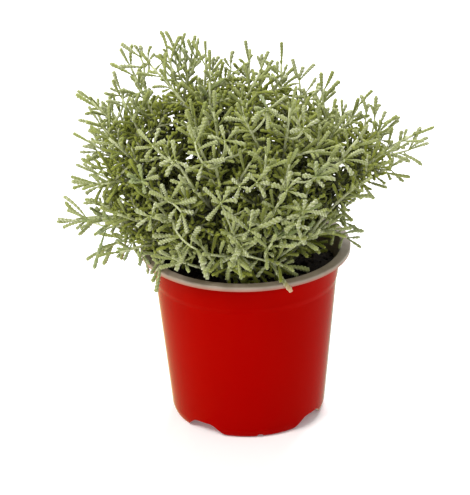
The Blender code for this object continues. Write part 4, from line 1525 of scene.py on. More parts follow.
# %% Shoots by name
LAID_SHOOTS = (
    ((1.5, -70, 147.5), (2, -79.5, 154.5), (0, 4.5, -76.5, 166), (0.5, 8, -71.5, 164),
     (1, 21, -76.5, 160.5), (1.5, 8.5, -84, 152), (2, -14, -75.5, 165), (2.5, -4.5, -74.5, 157),
     (3, -1.5, -83.5, 150.5)),
    ((-2.5, -69.5, 138.5), (-3, -80, 144.5), (0, -10.5, -77, 150.5), (0.5, -8.5, -83.5, 136),
     (1, 1.5, -84, 139.5), (1.5, 6, -79, 147), (2, -5, -83.5, 140.5)),
    ((4.5, -56, 127.5), (21, -45, 115), (0, 28.5, -42, 118), (0, 38, -42, 110.5), (1, 31, -45, 108.5),
     (10, 26.5, -66, 108), (9.5, 6, -54, 112.5), (4.5, 24, -43, 119.5), (18, 2, -56, 119.5)),
    ((-5.5, -62, 134), (-9, -58, 126), (0, -11.5, -56, 112), (2, -4, -56, 117), (3.5, -14.5, -56, 124)),
    ((-12.5, -64, 160.5), (-14, -72.5, 169), (0, -4.5, -75, 171), (0.5, -22.5, -77.5, 160.5),
     (1, -8.5, -70, 178), (1.5, -24, -67, 176.5), (2, -19.5, -70, 170), (2.5, -7.5, -75.5, 163.5),
     (3, -16.5, -67.5, 175)),
    ((-45, -62.5, 171), (-37, -70, 162.5), (14, -52, -64.5, 164.5), (14, -48.5, -61.5, 177),
     (13, -34.5, -63.5, 181.5), (14, -56, -56.5, 170.5), (8, -28, -68.5, 170), (0, -34, -76.5, 152),
     (0, -40, -72, 152.5), (2, -30, -70, 162), (4.5, -44.5, -67.5, 158)),
    ((-40, -71, 145), (-28.5, -70, 138.5), (0, -24, -67, 128), (0.5, -23, -58, 114),
     (4.5, -26.5, -72, 154), (5, -39, -66, 128), (6.5, -41.5, -60, 121), (9.5, -41, -73, 140.5),
     (12.5, -51.5, -66, 141), (13, -55, -60, 143.5), (11.5, -35, -68, 149)),
    ((29.5, -62, 153.5), (33.5, -70.5, 161), (0, 47.5, -68.5, 157.5), (0.5, 42, -66.5, 167),
     (1, 35, -67.5, 168), (1.5, 28, -70.5, 168.5), (2, 24, -74, 158.5), (2.5, 30, -77, 154)),
    ((25.5, -66.5, 149), (29, -75.5, 156), (0, 34.5, -62, 137), (0.5, 22.5, -77, 152),
     (1, 37, -72.5, 151), (1.5, 20.5, -75, 157)),
    ((37, -54, 170), (41.5, -60.5, 179), (0, 33.5, -63.5, 181), (0.5, 42, -57, 187.5),
     (1, 53, -59, 176.5), (1.5, 46, -62, 173), (2, 55, -53.5, 181), (2.5, 50, -52.5, 184),
     (3, 35.5, -65, 174.5)),
    ((21.5, -60.5, 165.5), (24.5, -68.5, 174.5), (0, 32.5, -64.5, 180), (0.5, 27, -64, 184.5),
     (1, 36, -68.5, 170), (1.5, 15.5, -69, 178), (2, 20, -72, 170), (2.5, 21, -65.5, 180)),
    ((13, -40, 205), (14.5, -44, 216), (0, 5, -52, 211), (0.5, 20, -46.5, 213.5), (1, 10, -39, 222.5),
     (1.5, 25.5, -36.5, 220.5), (2, 14, -54, 207), (2.5, 26, -47, 209), (3, 6.5, -45, 216.5)),
    ((-26, -61, 185), (-28.5, -54, 200), (0, -32, -48.5, 208.5), (2, -21, -47.5, 213),
     (5.5, -15, -58, 201), (9, -33, -55.5, 194), (13, -11, -64, 192.5), (14, -34, -61.5, 185),
     (14, -27, -66.5, 181)),
    ((6.5, -60.5, 170.5), (7, -68.5, 180), (0, 14.5, -66, 188), (0.5, 2, -66.5, 184.5),
     (1, 0.5, -72, 175), (1.5, 11.5, -72.5, 171.5), (2, 14.5, -68.5, 178.5)),
    ((-2.5, -61.5, 169), (-3, -69.5, 178), (0, 2.5, -68, 183), (0.5, -7.5, -67.5, 182),
     (1, -5.5, -72.5, 171.5), (1.5, 3.5, -71.5, 175.5), (2, -10, -70.5, 175)),
    ((-53.5, -45.5, 166.5), (-60, -51, 175), (0, -50, -57.5, 180), (0.5, -61.5, -45.5, 183.5),
     (1, -68, -45, 172.5), (1.5, -58.5, -56, 169), (2, -52, -52, 183.5)),
    ((-36, -49.5, 179.5), (-40, -55, 189.5), (0, -41.5, -49, 199.5), (0.5, -49.5, -53.5, 185.5),
     (1, -45.5, -59.5, 181), (1.5, -32, -60, 186)),
    ((-10, -50.5, 191), (-11, -56.5, 201.5), (0, 1, -59, 199.5), (0.5, -13, -50.5, 208.5),
     (1, -21, -54.5, 203), (1.5, -7, -62.5, 194), (2, -3, -52.5, 208)),
    ((32, -42.5, 193.5), (35, -47, 204), (0, 35.5, -37.5, 215), (0.5, 44, -40.5, 206.5),
     (1, 27, -52, 204), (1.5, 40, -51, 197.5), (2, 28, -44.5, 211)),
    ((53, -41.5, 174.5), (59, -46.5, 183.5), (0, 73, -39.5, 177.5), (0.5, 71, -34.5, 184.5),
     (1, 57, -43, 191), (1.5, 53, -53.5, 182), (2, 63.5, -49.5, 175)),
    ((-48.5, -38.5, 184.5), (-53.5, -43, 194), (0, -62, -31, 199.5), (0.5, -49, -39.5, 203.5),
     (1, -45.5, -47, 198), (1.5, -57.5, -47, 187), (2, -64, -36.5, 190)),
    ((-49, -54.5, 150), (-56, -62, 157), (0, -64, -61.5, 150.5), (0.5, -64.5, -55.5, 158.5),
     (1, -56, -66.5, 149.5), (1.5, -47, -68, 156), (2, -52, -61, 165.5)),
    ((53.5, -12, 122.5), (62.5, -9, 117), (0, 70.5, -4, 115), (1, 71, -11, 111), (4.5, 73, -3, 118.5),
     (7.5, 68, -2, 121.5), (2.5, 57, -14, 112), (9, 52, -18, 116.5)),
    ((55, -6, 129), (60.5, -5, 126), (0, 70, 0, 117.5), (2.5, 66.5, 0, 125), (3, 62, 0, 129.5),
     (4.5, 55, -5, 135.5), (2, 63, -6, 121)),
    ((55.5, 0, 130.5), (61, 0, 133), (0, 68.5, 2, 138.5), (2, 60.5, 0, 140.5), (3.5, 65, 0, 131.5),
     (4, 54, 0, 138)),
    ((-77, -22, 129.5), (-95, -18, 136), (0, -111, -16, 131), (0, -114, -16, 137), (0, -110, -10, 149.5),
     (0, -108, -14, 142), (2.5, -100, -20, 131.5), (7, -90, -14, 144), (10.5, -89.5, -22, 129),
     (12, -92.5, -26, 107.5), (15.5, -88.5, -25, 130.5), (16.5, -75.5, -16, 136)),
    ((-65, -24, 125.5), (-69.5, -25, 124), (0, -74.5, -27, 118.5), (0, -79, -26, 126),
     (2, -74, -28, 113.5)),
    ((-62.5, -26, 119.5), (-62, -24, 113.5), (0, -60, -24, 102.5), (1, -65, -27, 109.5),
     (2, -58.5, -28, 111)),
    ((-81, -10, 141.5), (-88, -8, 143), (0, -98.5, -4, 142), (1, -94.5, -4, 144.5),
     (2.5, -90.5, -10, 138.5), (4.5, -86, -6, 148)),
    ((-82, -4, 150), (-89, -2, 153.5), (0, -105.5, 0, 155), (0.5, -97.5, -2, 151.5), (2, -97, -4, 148),
     (2.5, -91.5, 0, 158)),
    ((-80.5, 0, 156.5), (-89.5, 2, 158.5), (0, -102.5, 4, 164.5), (0.5, -95, 2, 157.5), (2, -98, 4, 165),
     (3.5, -89, 3, 166)),
    ((-55.5, 8, 219), (-60.5, 8, 231), (0, -72, 8, 240), (0, -64, 6, 239.5), (1, -60.5, 8, 238.5),
     (7, -74, 4, 226.5), (10.5, -59, 4, 218.5), (7.5, -55, 8, 229)),
    ((-54.5, 9, 219.5), (-56, 9, 228.5), (0, -54, 8, 238), (0.5, -52, 10, 232.5)),
    ((-38.5, 14, 213.5), (-40, 14, 229.5), (0, -45.5, 16, 244.5), (0.5, -41.5, 12, 238.5),
     (0, -37, 14, 236.5), (7, -43, 12, 228.5), (7, -34.5, 14, 227.5)),
    ((-29.5, 14, 216.5), (-27.5, 14, 227.5), (0, -32, 16, 239), (0, -25.5, 16, 239.5),
     (1, -21.5, 12, 229.5), (5, -35.5, 14, 233.5), (6.5, -24.5, 14, 226)),
    ((-36.5, 14, 225), (-37, 15, 232.5), (0, -33.5, 16, 243), (0.5, -32, 14, 231.5)),
    ((-70, 4, 199), (-72.5, 4, 210.5), (0, -77, 4, 224), (1, -79.5, 2, 214), (2.5, -83, 0, 211.5),
     (4, -71, 4, 213), (4.5, -67.5, 4, 209.5), (6.5, -78.5, 2, 205)),
    ((-59.5, 6, 204.5), (-61, 6, 211.5), (0, -64.5, 6, 216.5), (0, -58, 6, 216), (2, -66.5, 4, 206.5),
     (2, -55.5, 6, 210.5)),
    ((-46, 10, 215.5), (-48, 10, 228), (0, -44.5, 10, 235), (0, -52, 10, 231), (1.5, -53.5, 6, 221),
     (2.5, -41, 8, 220.5)),
    ((55, 4, 183), (60, 4, 192), (0, 60, 6, 202), (0.5, 63, 6, 199), (2, 66, 4, 195),
     (1.5, 54.5, 4, 197), (3.5, 52.5, 2, 191.5)),
    ((61.5, 2, 180.5), (66.5, 2, 191), (0, 72, 2, 195.5), (0.5, 63.5, 2, 195), (3, 72, 0, 188),
     (4, 60, 0, 186.5)),
    ((72.5, 2, 177), (74.5, 4, 191), (0, 71.5, 6, 204.5), (0.5, 76.5, 6, 199), (2, 70.5, 4, 194),
     (4.5, 78, 4, 190), (5.5, 67.5, 0, 181.5)),
    ((78, 2, 175.5), (80, 6, 188.5), (0, 81, 8, 203), (0.5, 77.5, 6, 198), (0, 83, 6, 198.5),
     (3, 76, 4, 188.5), (5, 84.5, 0, 180)),
    ((78.5, 2, 174.5), (83.5, 4, 186), (0, 86.5, 4, 194.5), (0.5, 95.5, 6, 189.5), (2.5, 79.5, 4, 188),
     (5, 89.5, 0, 181.5)),
    ((78, 2, 170), (84, 3, 177), (0, 94.5, 4, 188.5), (1, 89.5, 2, 175), (1.5, 82, 3, 182.5),
     (2.5, 86.5, 0, 171.5)),
    ((78, 2, 165.5), (94, 4, 169), (0, 96.5, 6, 181), (0, 101, 4, 173.5), (2.5, 88.5, 4, 174.5),
     (4.5, 95, 0, 165.5), (7.5, 82, 4, 170)),
    ((83, 0, 165.5), (100.5, 3, 169), (0, 113, 4, 173), (0, 112.5, 6, 176), (0, 108, 6, 183),
     (3, 100, 0, 165), (7, 108.5, -2, 161), (9, 89.5, -4, 162)),
    ((75.5, -4, 161), (89.5, -4, 159), (0, 97, -6, 152), (1, 90, -2, 163), (3.5, 89, -8, 154),
     (6, 80.5, -8, 156.5), (8, 86.5, -2, 164.5)),
    ((65.5, -6, 156.5), (71.5, -6, 151), (0, 79, -6, 141), (1, 74, -4, 152.5), (2, 69, -8, 145.5),
     (3.5, 63.5, -8, 148.5)),
    ((36.5, 0, 196.5), (40, 2, 204.5), (0, 47.5, 4, 211), (0.5, 36.5, 2, 211), (1, 46, 2, 205),
     (4, 33.5, 0, 204.5)),
    ((-17.5, 14, 210.5), (-17.5, 14, 220.5), (0, -16.5, 14, 228), (0, -13.5, 14, 228.5),
     (1.5, -20.5, 12, 223.5), (3, -22, 12, 219), (2.5, -13.5, 14, 221)),
    ((-8, 12, 210), (-6.5, 12, 221.5), (0, -5, 12, 232.5), (0.5, -10.5, 12, 228), (2.5, -10.5, 12, 222),
     (2, -1, 10, 218), (5, -3, 8, 214.5)),
    ((3.5, 12, 207), (3, 12, 216), (0, 4, 12, 225), (0, 0, 12, 222.5), (0.5, 7, 12, 220.5),
     (2.5, -1, 10, 216)),
    ((12.5, 12, 209.5), (12, 12, 219.5), (0, 12.5, 12, 230), (0, 9.5, 12, 229), (0.5, 14.5, 12, 228),
     (4, 19, 12, 226), (4.5, 8, 10, 219)),
    ((22, 8, 206.5), (21.5, 8, 215.5), (0, 21.5, 10, 226), (0.5, 24.5, 8, 218), (2.5, 17.5, 8, 216.5),
     (5, 27.5, 6, 217.5)),
    ((35, 6, 204.5), (34.5, 6, 215), (0, 37, 6, 223.5), (0, 30.5, 8, 228), (0.5, 44, 6, 225),
     (1.5, 31.5, 6, 220.5), (2.5, 29.5, 4, 213)),
    ((36.5, 4, 200), (38.5, 4, 208), (0, 44.5, 4, 217), (1.5, 33.5, 4, 210.5), (2, 42.5, 4, 207.5),
     (4, 31.5, 2, 205.5)),
    ((48, 2, 185), (51.5, 2, 191.5), (0, 52, 2, 198.5), (0, 56.5, 2, 192.5), (1, 48, 2, 199.5),
     (2.5, 46, 2, 193)),
    ((-79, 2, 183), (-86, 2, 190.5), (0, -99.5, 2, 194), (0, -93, 4, 202), (1.5, -87.5, 4, 198),
     (3, -90, 0, 187.5), (5.5, -81.5, 4, 193.5)),
    ((-81, 0, 177.5), (-86.5, 0, 182), (0, -93.5, 0, 188.5), (0, -90, 2, 188.5), (1.5, -92, -2, 181.5),
     (2.5, -85, 2, 186.5)),
    ((-82.5, -2, 170.5), (-88.5, -2, 175), (0, -97.5, -2, 178.5), (0.5, -99, -4, 175.5),
     (0, -94, 0, 181.5), (2, -92.5, -4, 171.5), (4, -85, 0, 179.5)),
    ((-75, 4, 192.5), (-79.5, 4, 199), (0, -85, 4, 205), (1, -79.5, 6, 205.5), (1.5, -86, 2, 202),
     (4, -83, 2, 195)),
)
print("shoots by name:", len(LAID_SHOOTS), "with", sum(len(row) - 2 for row in LAID_SHOOTS), "leaves")

# %% Lay the named shoots
LAID_START_CLEAR = 0.012
LOOSE_LEAF = -5


def lay_shoot(bend, tip, leaves, hosts, space):
    """Grows one shoot through its bend, with its own leaves. Gives the length of its start."""
    bend = np.array(bend) / 1000
    tip = np.array(tip) / 1000
    ways = bend - hosts.points
    lengths = np.linalg.norm(ways, axis=1)
    onward = ways @ unit(tip - bend)
    nearest = int(np.argmin(np.where(onward > 0, lengths, lengths + LAID_START_CLEAR)))
    number = int(hosts.numbers[nearest])
    add_twig(number, (hosts.points[nearest], bend, tip), "laid", hosts, space)
    path = stems[number]["fine"][-1]
    order = len(stems[number]["fine"]) - 1
    for back, *place in leaves:
        root = along(path, back / 1000)[0]
        leaf_tip = np.array(place) / 1000
        stems[number]["leaves"].append((order, back / 1000, leaf_tip))
        space.fill(np.array((root, leaf_tip)), np.full(2, LEAF_THICK), number, LOOSE_LEAF)
    return float(lengths[nearest])


starts = [lay_shoot(bend, tip, leaves, hosts, space) for bend, tip, *leaves in LAID_SHOOTS]
print("the longest start of a named shoot:", round(max(starts) * 1000), "mm")

# %% [markdown]
# ## Filling the crown out
#
# Places are spread evenly over the dome by the golden angle, on several shells from deep inside to
# the surface. A place in a gap, under the rim or close to a shoot's tip is passed over, and each
# of the rest asks for a twig. Some twigs at the surface become pale stars. At the back the tips
# may stand further apart, since less light came from there.

# %% Fill
SHELLS = ((0.32, 70), (0.46, 150), (0.60, 300), (0.74, 520), (0.87, 800), (0.975, 1300))
SHELL_LOW = 0.10
SHELL_SPREAD = (0.90, 1.03)
OUTER_SHELL = 0.9
OVER_RIM = 0.003
STAR_SHARE = 0.07
TIP_SPACING = 0.0068
BACK_THIN = 0.45
FILL_SEED = 11


def shell_places(share, count, draw):
    """Places spread evenly over the filled crown, at a share of its reach."""
    for k in range(count):
        rise = SHELL_LOW + (1 - SHELL_LOW) * (k + 0.5) / count
        flat = math.sqrt(1 - rise * rise)
        azimuth = k * GOLDEN_ANGLE
        direction = np.array((math.cos(azimuth) * flat, math.sin(azimuth) * flat, rise))
        reach = fill_reach(direction) * share * draw.uniform(*SHELL_SPREAD) - TIP_MARGIN / 2
        yield CROWN_CENTRE + direction * reach


draw = random.Random(FILL_SEED)
for share, count in SHELLS:
    for place in shell_places(share, count, draw):
        if place[2] < POT_HEIGHT + OVER_RIM or in_gap(place):
            continue
        spacing = TIP_SPACING * (1 + BACK_THIN * max(0.0, place[1]) / FILL_HALF_DEPTH)
        if np.linalg.norm(hosts.tips - place, axis=1).min() < spacing:
            continue
        found = grow_twig(place, hosts, space, draw)
        if found is not None:
            kind = "star" if share > OUTER_SHELL and draw.random() < STAR_SHARE else "twig"
            add_twig(*found, kind, hosts, space)
kinds = [kind for stem in stems for kind in stem["kinds"]]
print("twigs:", kinds.count("twig"), "stars:", kinds.count("star"))

# %% [markdown]
# ## Leaves in between
#
# Each axis is walked from its tip down. Young leaves at the tip are short and nearly straight
# on, older ones longer and more spread. For every place several turns about the shoot are tried,
# and the one with the most room wins. Leaves may press on each other, as felted leaves do. The
# leaves of a star are the longest, and they open wide.

# %% More leaves
NEXT_LEAVES = {"shoot": 0.0027, "twig": 0.0019, "star": 0.0022}
LEAF_SIZES = {"shoot": (0.0060, 0.0110), "twig": (0.0045, 0.0088), "star": (0.0100, 0.0150)}
LEAF_LEANS = {"shoot": (22, 45), "twig": (24, 42), "star": (38, 34)}
LEAFY_SHARE = 0.85
LEAFY_LENGTHS = {"shoot": 0.060, "twig": 0.040, "star": 0.014}
TURN_TRIES = 5
PRESS = -0.0012
NEXT_TURN = 0.55
PAST_DOME = 0.002
THIN_BELOW = 2.6
PROUD = {"shoot": 1.0, "twig": 0.003, "star": 0.008}
FIRST_BACK = 0.0006
SPREAD_ZONE = 0.020
YOUNG_ZONE = 0.006
YOUNG_LEAST = 0.50
YOUNG_GROWTH = 0.40
LEAN_RANGE = (0.7, 1.3)
STEP_RANGE = (0.8, 1.3)
STEP_LEAST = 0.75
STEP_GROWTH = 0.5


def under_dome(point):
    """How far a point lies under the surface of the solids' dome."""
    reach = point - CROWN_CENTRE
    distance = float(np.linalg.norm(reach))
    return crown_reach(reach / distance) - distance


def best_turn(root, tangent, lean, size, roll, shoot, least_under, space):
    """The turn of a leaf about its shoot that leaves the most room, as (room, free, tip)."""
    best = None
    for attempt in range(TURN_TRIES):
        axis = leaned(tangent, lean, roll + attempt * NEXT_TURN)
        tip = root + axis * size
        rod = root + np.linspace(FREE_SHARE, 1, 4)[:, None] * (tip - root)
        if pot_room(rod, LEAF_THICK) < 0 or under_dome(tip) < -PAST_DOME or in_gap(tip):
            continue
        if under_fill(tip) < -least_under:
            continue
        free = root + axis * size * FREE_SHARE
        room = space.near_room(free, tip, LEAF_THICK, shoot)
        if best is None or room > best[0]:
            best = (room, free, tip)
        if room > 0:
            break
    return best


def fill_leaves(stem, number, wanted, space, draw):
    """Leaves down every axis of the wanted kind, where there is room for them."""
    for order, (path, kind) in enumerate(zip(stem["fine"], stem["kinds"])):
        if kind != wanted:
            continue
        length = path_length(path)
        first = kind == "shoot"
        shoot = number * STEM_NUMBERS + order if first else number * TWIG_NUMBERS + order + 1
        phase = draw.uniform(0, 2 * math.pi)
        back = FIRST_BACK
        count = 0
        while back < min(length * LEAFY_SHARE, LEAFY_LENGTHS[kind]):
            spread = min(1.0, back / SPREAD_ZONE)
            least, more = LEAF_LEANS[kind]
            lean = math.radians(least + more * spread ** 0.5) * draw.uniform(*LEAN_RANGE)
            young = min(1.0, YOUNG_LEAST + back / YOUNG_ZONE * YOUNG_GROWTH)
            size = young * draw.uniform(*LEAF_SIZES[kind])
            root, tangent = along(path, back)
            roll = phase + count * GOLDEN_ANGLE
            best = best_turn(root, tangent, lean, size, roll, shoot, PROUD[kind], space)
            if best is not None and (best[0] > PRESS or kind == "star"):
                room, free, tip = best
                stem["leaves"].append((order, back, tip))
                space.fill(np.array((free, tip)), np.full(2, LEAF_THICK), number, LOOSE_LEAF)
            count += 1
            thin = THIN_BELOW if under_fill(root) < -PAST_DOME else 1.0
            step = NEXT_LEAVES[kind] * draw.uniform(*STEP_RANGE)
            back += step * (STEP_LEAST + STEP_GROWTH * spread) * thin


for wanted in ("star", "shoot", "twig"):
    for number, stem in enumerate(stems):
        fill_leaves(stem, number, wanted, space, draw)
leaf_count = sum(len(stem["leaves"]) for stem in stems)
print("leaves in all:", leaf_count)

# %% [markdown]
# ## One leaf
#
# Under a lens the leaf is a thin rod with four rows of blunt teeth, the rows taking turns. The
# model is a stack of rings, in its finest grade with eight points each. Every second point
# belongs to a row, and on every second ring it is pushed out and forward, so that it becomes a
# tooth. Of its four grades the finest is for long leaves at the surface, and the plainest for
# those deep inside.

# %% Leaf grades
STALK_RADIUS = 0.00044
CORE_RADIUS = 0.00090
CLUB_RADIUS = 0.00110
STALK_ZONE = (0.12, 0.58)
CLUB_ZONE = (0.58, 0.85)
TOOTH_ZONE = (0.08, 0.42)
TOOTH = 0.00048
TOOTH_FORWARD = 0.45
BETWEEN_TEETH = -0.15
UNEVEN = 0.35
BLUNT_FROM = 0.86
BLUNT_END = 0.35
TOP_RING = 0.985
FOOT_POINT = -0.01
ANGLE_SPREAD = 0.12
PALE_BETWEEN = 0.25
LEAF_GRADES = ((8, 17), (8, 9), (6, 7), (5, 4))
LEAF_KINDS = 4


def smooth_step(low, high, value):
    """0 below one value and 1 above another, with no corner on the way."""
    share = min(1.0, max(0.0, (value - low) / (high - low)))
    return share * share * (3 - 2 * share)


def leaf_grade(sides, rings, draw):
    """A unit leaf along +Z: its points, its faces, and how far out each point is as a tooth."""
    points = [(0.0, 0.0, FOOT_POINT)]
    teeth = [0.0]
    for ring in range(rings):
        z = TOP_RING * ring / (rings - 1)
        core = STALK_RADIUS + (CORE_RADIUS - STALK_RADIUS) * smooth_step(*STALK_ZONE, z)
        core = core + (CLUB_RADIUS - CORE_RADIUS) * smooth_step(*CLUB_ZONE, z)
        tooth = TOOTH * smooth_step(*TOOTH_ZONE, z)
        end = math.sqrt(max(0.0, 1 - (max(0.0, z - BLUNT_FROM) / (1 - BLUNT_FROM)) ** 2))
        for side in range(sides):
            angle = 2 * math.pi * side / sides + draw.uniform(-ANGLE_SPREAD, ANGLE_SPREAD)
            row = side % 2 == 0
            out = row and (ring + side // 2) % 2 == 0
            push = tooth * draw.uniform(1 - UNEVEN, 1 + UNEVEN) if out else BETWEEN_TEETH * tooth
            radius = (core + push) * (BLUNT_END + (1 - BLUNT_END) * end)
            forward = TOOTH_FORWARD / rings if out and ring < rings - 1 else 0.0
            points.append((radius * math.cos(angle), radius * math.sin(angle), z + forward))
            teeth.append(push / TOOTH if out else PALE_BETWEEN * tooth / TOOTH * (not row))
    points.append((0.0, 0.0, 1.0))
    teeth.append(1.0)
    faces = []
    last = len(points) - 1
    for side in range(sides):
        after = (side + 1) % sides
        faces.append((0, 1 + after, 1 + side))
        top = 1 + (rings - 1) * sides
        faces.append((top + side, top + after, last))
        for ring in range(rings - 1):
            low = 1 + ring * sides
            high = low + sides
            faces.append((low + side, low + after, high + after, high + side))
    return np.array(points), faces, np.array(teeth)


draw = random.Random(FILL_SEED + 2)
grades = [[leaf_grade(sides, rings, draw) for _ in range(LEAF_KINDS)] for sides, rings in LEAF_GRADES]
print("triangles a leaf:", [sum(len(face) - 2 for face in kinds[0][1]) for kinds in grades])

# %% [markdown]
# ## From rods to a mesh
#
# A stem's mesh is gathered in lists: points, faces, and a few numbers for each point that its
# colour will use. A leaf is the unit leaf, turned and stretched onto its rod by matrix
# arithmetic, with a slight bow. A shoot is a tube: rings of points carried along its curve.

# %% Mesh gathering
STEM_SIDES = 6
TUBE_SIDE = (0.3, 0.9, 0.2)


class Gathered:
    """Points, faces and point values of one stem, gathered piece by piece."""

    def __init__(self):
        self.points = []
        self.faces = []
        self.values = {"tooth": [], "tone": [], "depth": [], "bark": [], "dry": []}
        self.slots = []
        self.count = 0

    def take(self, points, faces, slot, **values):
        self.points.append(points)
        self.faces.extend(tuple(index + self.count for index in face) for face in faces)
        self.slots.extend([slot] * len(faces))
        for name, store in self.values.items():
            store.append(np.broadcast_to(np.asarray(values.get(name, 0.0), float), len(points)))
        self.count += len(points)


def placed_leaf(grade, root, tip, hint, width, roll, bow):
    """The unit leaf's points carried onto a rod, bowed towards the hint's direction."""
    points = grade[0]
    length = np.linalg.norm(tip - root)
    axis = (tip - root) / length
    across = unit(hint - axis * float(hint @ axis))
    other = np.cross(axis, across)
    x = (points[:, 0] * math.cos(roll) - points[:, 1] * math.sin(roll)) * width
    y = (points[:, 0] * math.sin(roll) + points[:, 1] * math.cos(roll)) * width
    z = points[:, 2]
    bend = bow * length * 4 * z * (1 - z)
    return root + np.outer(x + bend, across) + np.outer(y, other) + np.outer(z * length, axis)


def tube(path, radii, sides):
    """Rings of points carried along a path, with closed ends."""
    tangents = np.gradient(path, axis=0)
    side = unit(np.cross(tangents[0], TUBE_SIDE))
    rows = []
    angles = np.arange(sides) * 2 * math.pi / sides
    for place, tangent, radius in zip(path, tangents, radii):
        forward = unit(tangent)
        side = unit(side - forward * float(side @ forward))
        other = np.cross(forward, side)
        rows.append(place + radius * (np.outer(np.cos(angles), side) + np.outer(np.sin(angles), other)))
    points = np.vstack(rows)
    faces = [tuple(reversed(range(sides)))]
    for ring in range(len(path) - 1):
        for k in range(sides):
            after = (k + 1) % sides
            low = ring * sides
            faces.append((low + k, low + after, low + sides + after, low + sides + k))
    faces.append(tuple(range(len(points) - sides, len(points))))
    return points, faces


trial = tube(curve_through(np.zeros(3), UP, UP * 2, 4), np.ones(5), STEM_SIDES)
print("a trial tube has", len(trial[0]), "points")

# %% [markdown]
# ## Felt and bark
#
# The felt is white hairs over a green leaf. It is thickest on the teeth, so they are pale, and the
# green shows between them, darkened there as painted shade. Leaves differ a little from each other,
# and those deep in the crown are greener and darker: in part their own colour, and in part painted
# shade from the leaves above them. The older part of a stem has lost its felt and is brown and
# rough, and deep in the crown it is darkened too, as painted shade. All of this is driven by the
# numbers stored with the points.

# %% Felt
VALLEY_GREEN_AND_SHADE = (0.22, 0.255, 0.055)
FELT_PALE = (0.69, 0.71, 0.52)
FELT_GREEN = (0.38, 0.415, 0.175)
YOUNG_YELLOW = (0.42, 0.44, 0.12)
OLIVE_AND_SHADE = (0.235, 0.265, 0.026)
SHADE_GREEN = (0.075, 0.086, 0.007)
COOL_GREEN = (0.16, 0.24, 0.09)
DRY_PINK = (0.66, 0.38, 0.22)
HAIR_GRAIN = 2600.0
HAIR_HEIGHT = 0.0002
LEAST_HAIRS = 0.12
REGION_GRAIN = 22.0


def stored(tree, name):
    """A number that the mesh keeps for each of its points."""
    return add(tree, "ShaderNodeAttribute", attribute_name=name).outputs["Fac"]


felt, tree, shader = new_material(
    "grey_green_felt", Roughness=0.85, Specular_IOR_Level=0.25, Sheen_Weight=0.18, Sheen_Roughness=0.45
)
tone = stored(tree, "tone")
depth = stored(tree, "depth")
fuzz = speckle(tree, HAIR_GRAIN)
pale = mixed(tree, mapped(tree, tone, 0.45, 1.2), FELT_GREEN, FELT_PALE)
young = mixed(tree, mapped(tree, tone, 0.0, 0.08, 0.8, 0.0), pale, YOUNG_YELLOW)
# Pale felt on the teeth; the darker green between them is partly painted shade in the hollows.
hairs = add(tree, "ShaderNodeMath", {0: stored(tree, "tooth"), 1: fuzz}, operation="MULTIPLY_ADD")
hairs.inputs[2].default_value = LEAST_HAIRS
colour = mixed(tree, mapped(tree, hairs.outputs[0], 0.10, 0.58), VALLEY_GREEN_AND_SHADE, young)
region = mapped(tree, speckle(tree, REGION_GRAIN, 1.0), 0.58, 0.68, 0.0, 0.45)
colour = mixed(tree, region, colour, COOL_GREEN)
# Painted shade: leaves deep in the crown turn olive and then dark, in part their own greener colour.
colour = mixed(tree, mapped(tree, depth, 0.02, 0.32, 0.0, 0.90), colour, OLIVE_AND_SHADE)
colour = mixed(tree, mapped(tree, depth, 0.35, 0.90, 0.0, 0.95), colour, SHADE_GREEN)
colour = mixed(tree, stored(tree, "dry"), colour, DRY_PINK)
tree.links.new(colour, shader.inputs["Base Color"])
bumped(tree, shader, fuzz, 0.5, HAIR_HEIGHT)
print("felt:", len(tree.nodes), "nodes")

# %% Bark
BARK_BROWN = (0.09, 0.055, 0.03)
BARK_GREY = (0.20, 0.16, 0.11)
STEM_GREEN = (0.40, 0.44, 0.20)
STEM_PALE = (0.58, 0.61, 0.38)
BARK_SHADE = (0.020, 0.022, 0.006)
STRIP_GRAIN = 900.0
STRIP_HEIGHT = 0.0003

bark, tree, shader = new_material("woody_bark", Roughness=0.85, Specular_IOR_Level=0.3)
strips = speckle(tree, STRIP_GRAIN, 4.0, (1.0, 1.0, 0.25))
wood = mixed(tree, mapped(tree, strips, 0.35, 0.65), BARK_BROWN, BARK_GREY)
green = mixed(tree, mapped(tree, strips, 0.4, 0.6), STEM_GREEN, STEM_PALE)
colour = mixed(tree, stored(tree, "bark"), green, wood)
# Painted shade: bark deep in the crown darkens towards BARK_SHADE.
shade = mapped(tree, stored(tree, "depth"), 0.3, 0.8, 0.0, 0.9)
tree.links.new(mixed(tree, shade, colour, BARK_SHADE), shader.inputs["Base Color"])
bumped(tree, shader, strips, 0.6, STRIP_HEIGHT)
print("bark:", len(tree.nodes), "nodes")

# %% [markdown]
# ## How a leaf looks
#
# The grade of a leaf follows from how far it lies under the crown's surface, and from its length:
# a short leaf gets by with fewer rings. How deep it lies also says how dark and green it is, which
# is partly painted shade, and low leaves within the rim count as deep, because all the others
# shade them. Stars and shoots by name are paler than the rest.

# %% Look of a leaf
GRADE_DEPTHS = (0.007, 0.018)
LONG_LEAF = 0.0125
DEEP = 0.032
SHADED_BELOW = 0.136
SHADED_FADE = 0.022
LOW_SHADE = 0.42
TONES = {"star": (0.80, 1.15), "laid": (0.60, 1.15), "shoot": (0.0, 0.80)}


# The depth drives painted shade on the leaves and the bark.
def depth_of(point):
    """0 at the crown's surface and 1 well inside it, and the distance itself."""
    under = under_fill(point)
    low = min(1.0, max(0.0, (SHADED_BELOW - point[2]) / SHADED_FADE))
    within = 1.0 if math.hypot(point[0], point[1]) < RIM_RADIUS else 0.0
    return min(1.0, max(0.0, under / DEEP, LOW_SHADE * low * within)), under


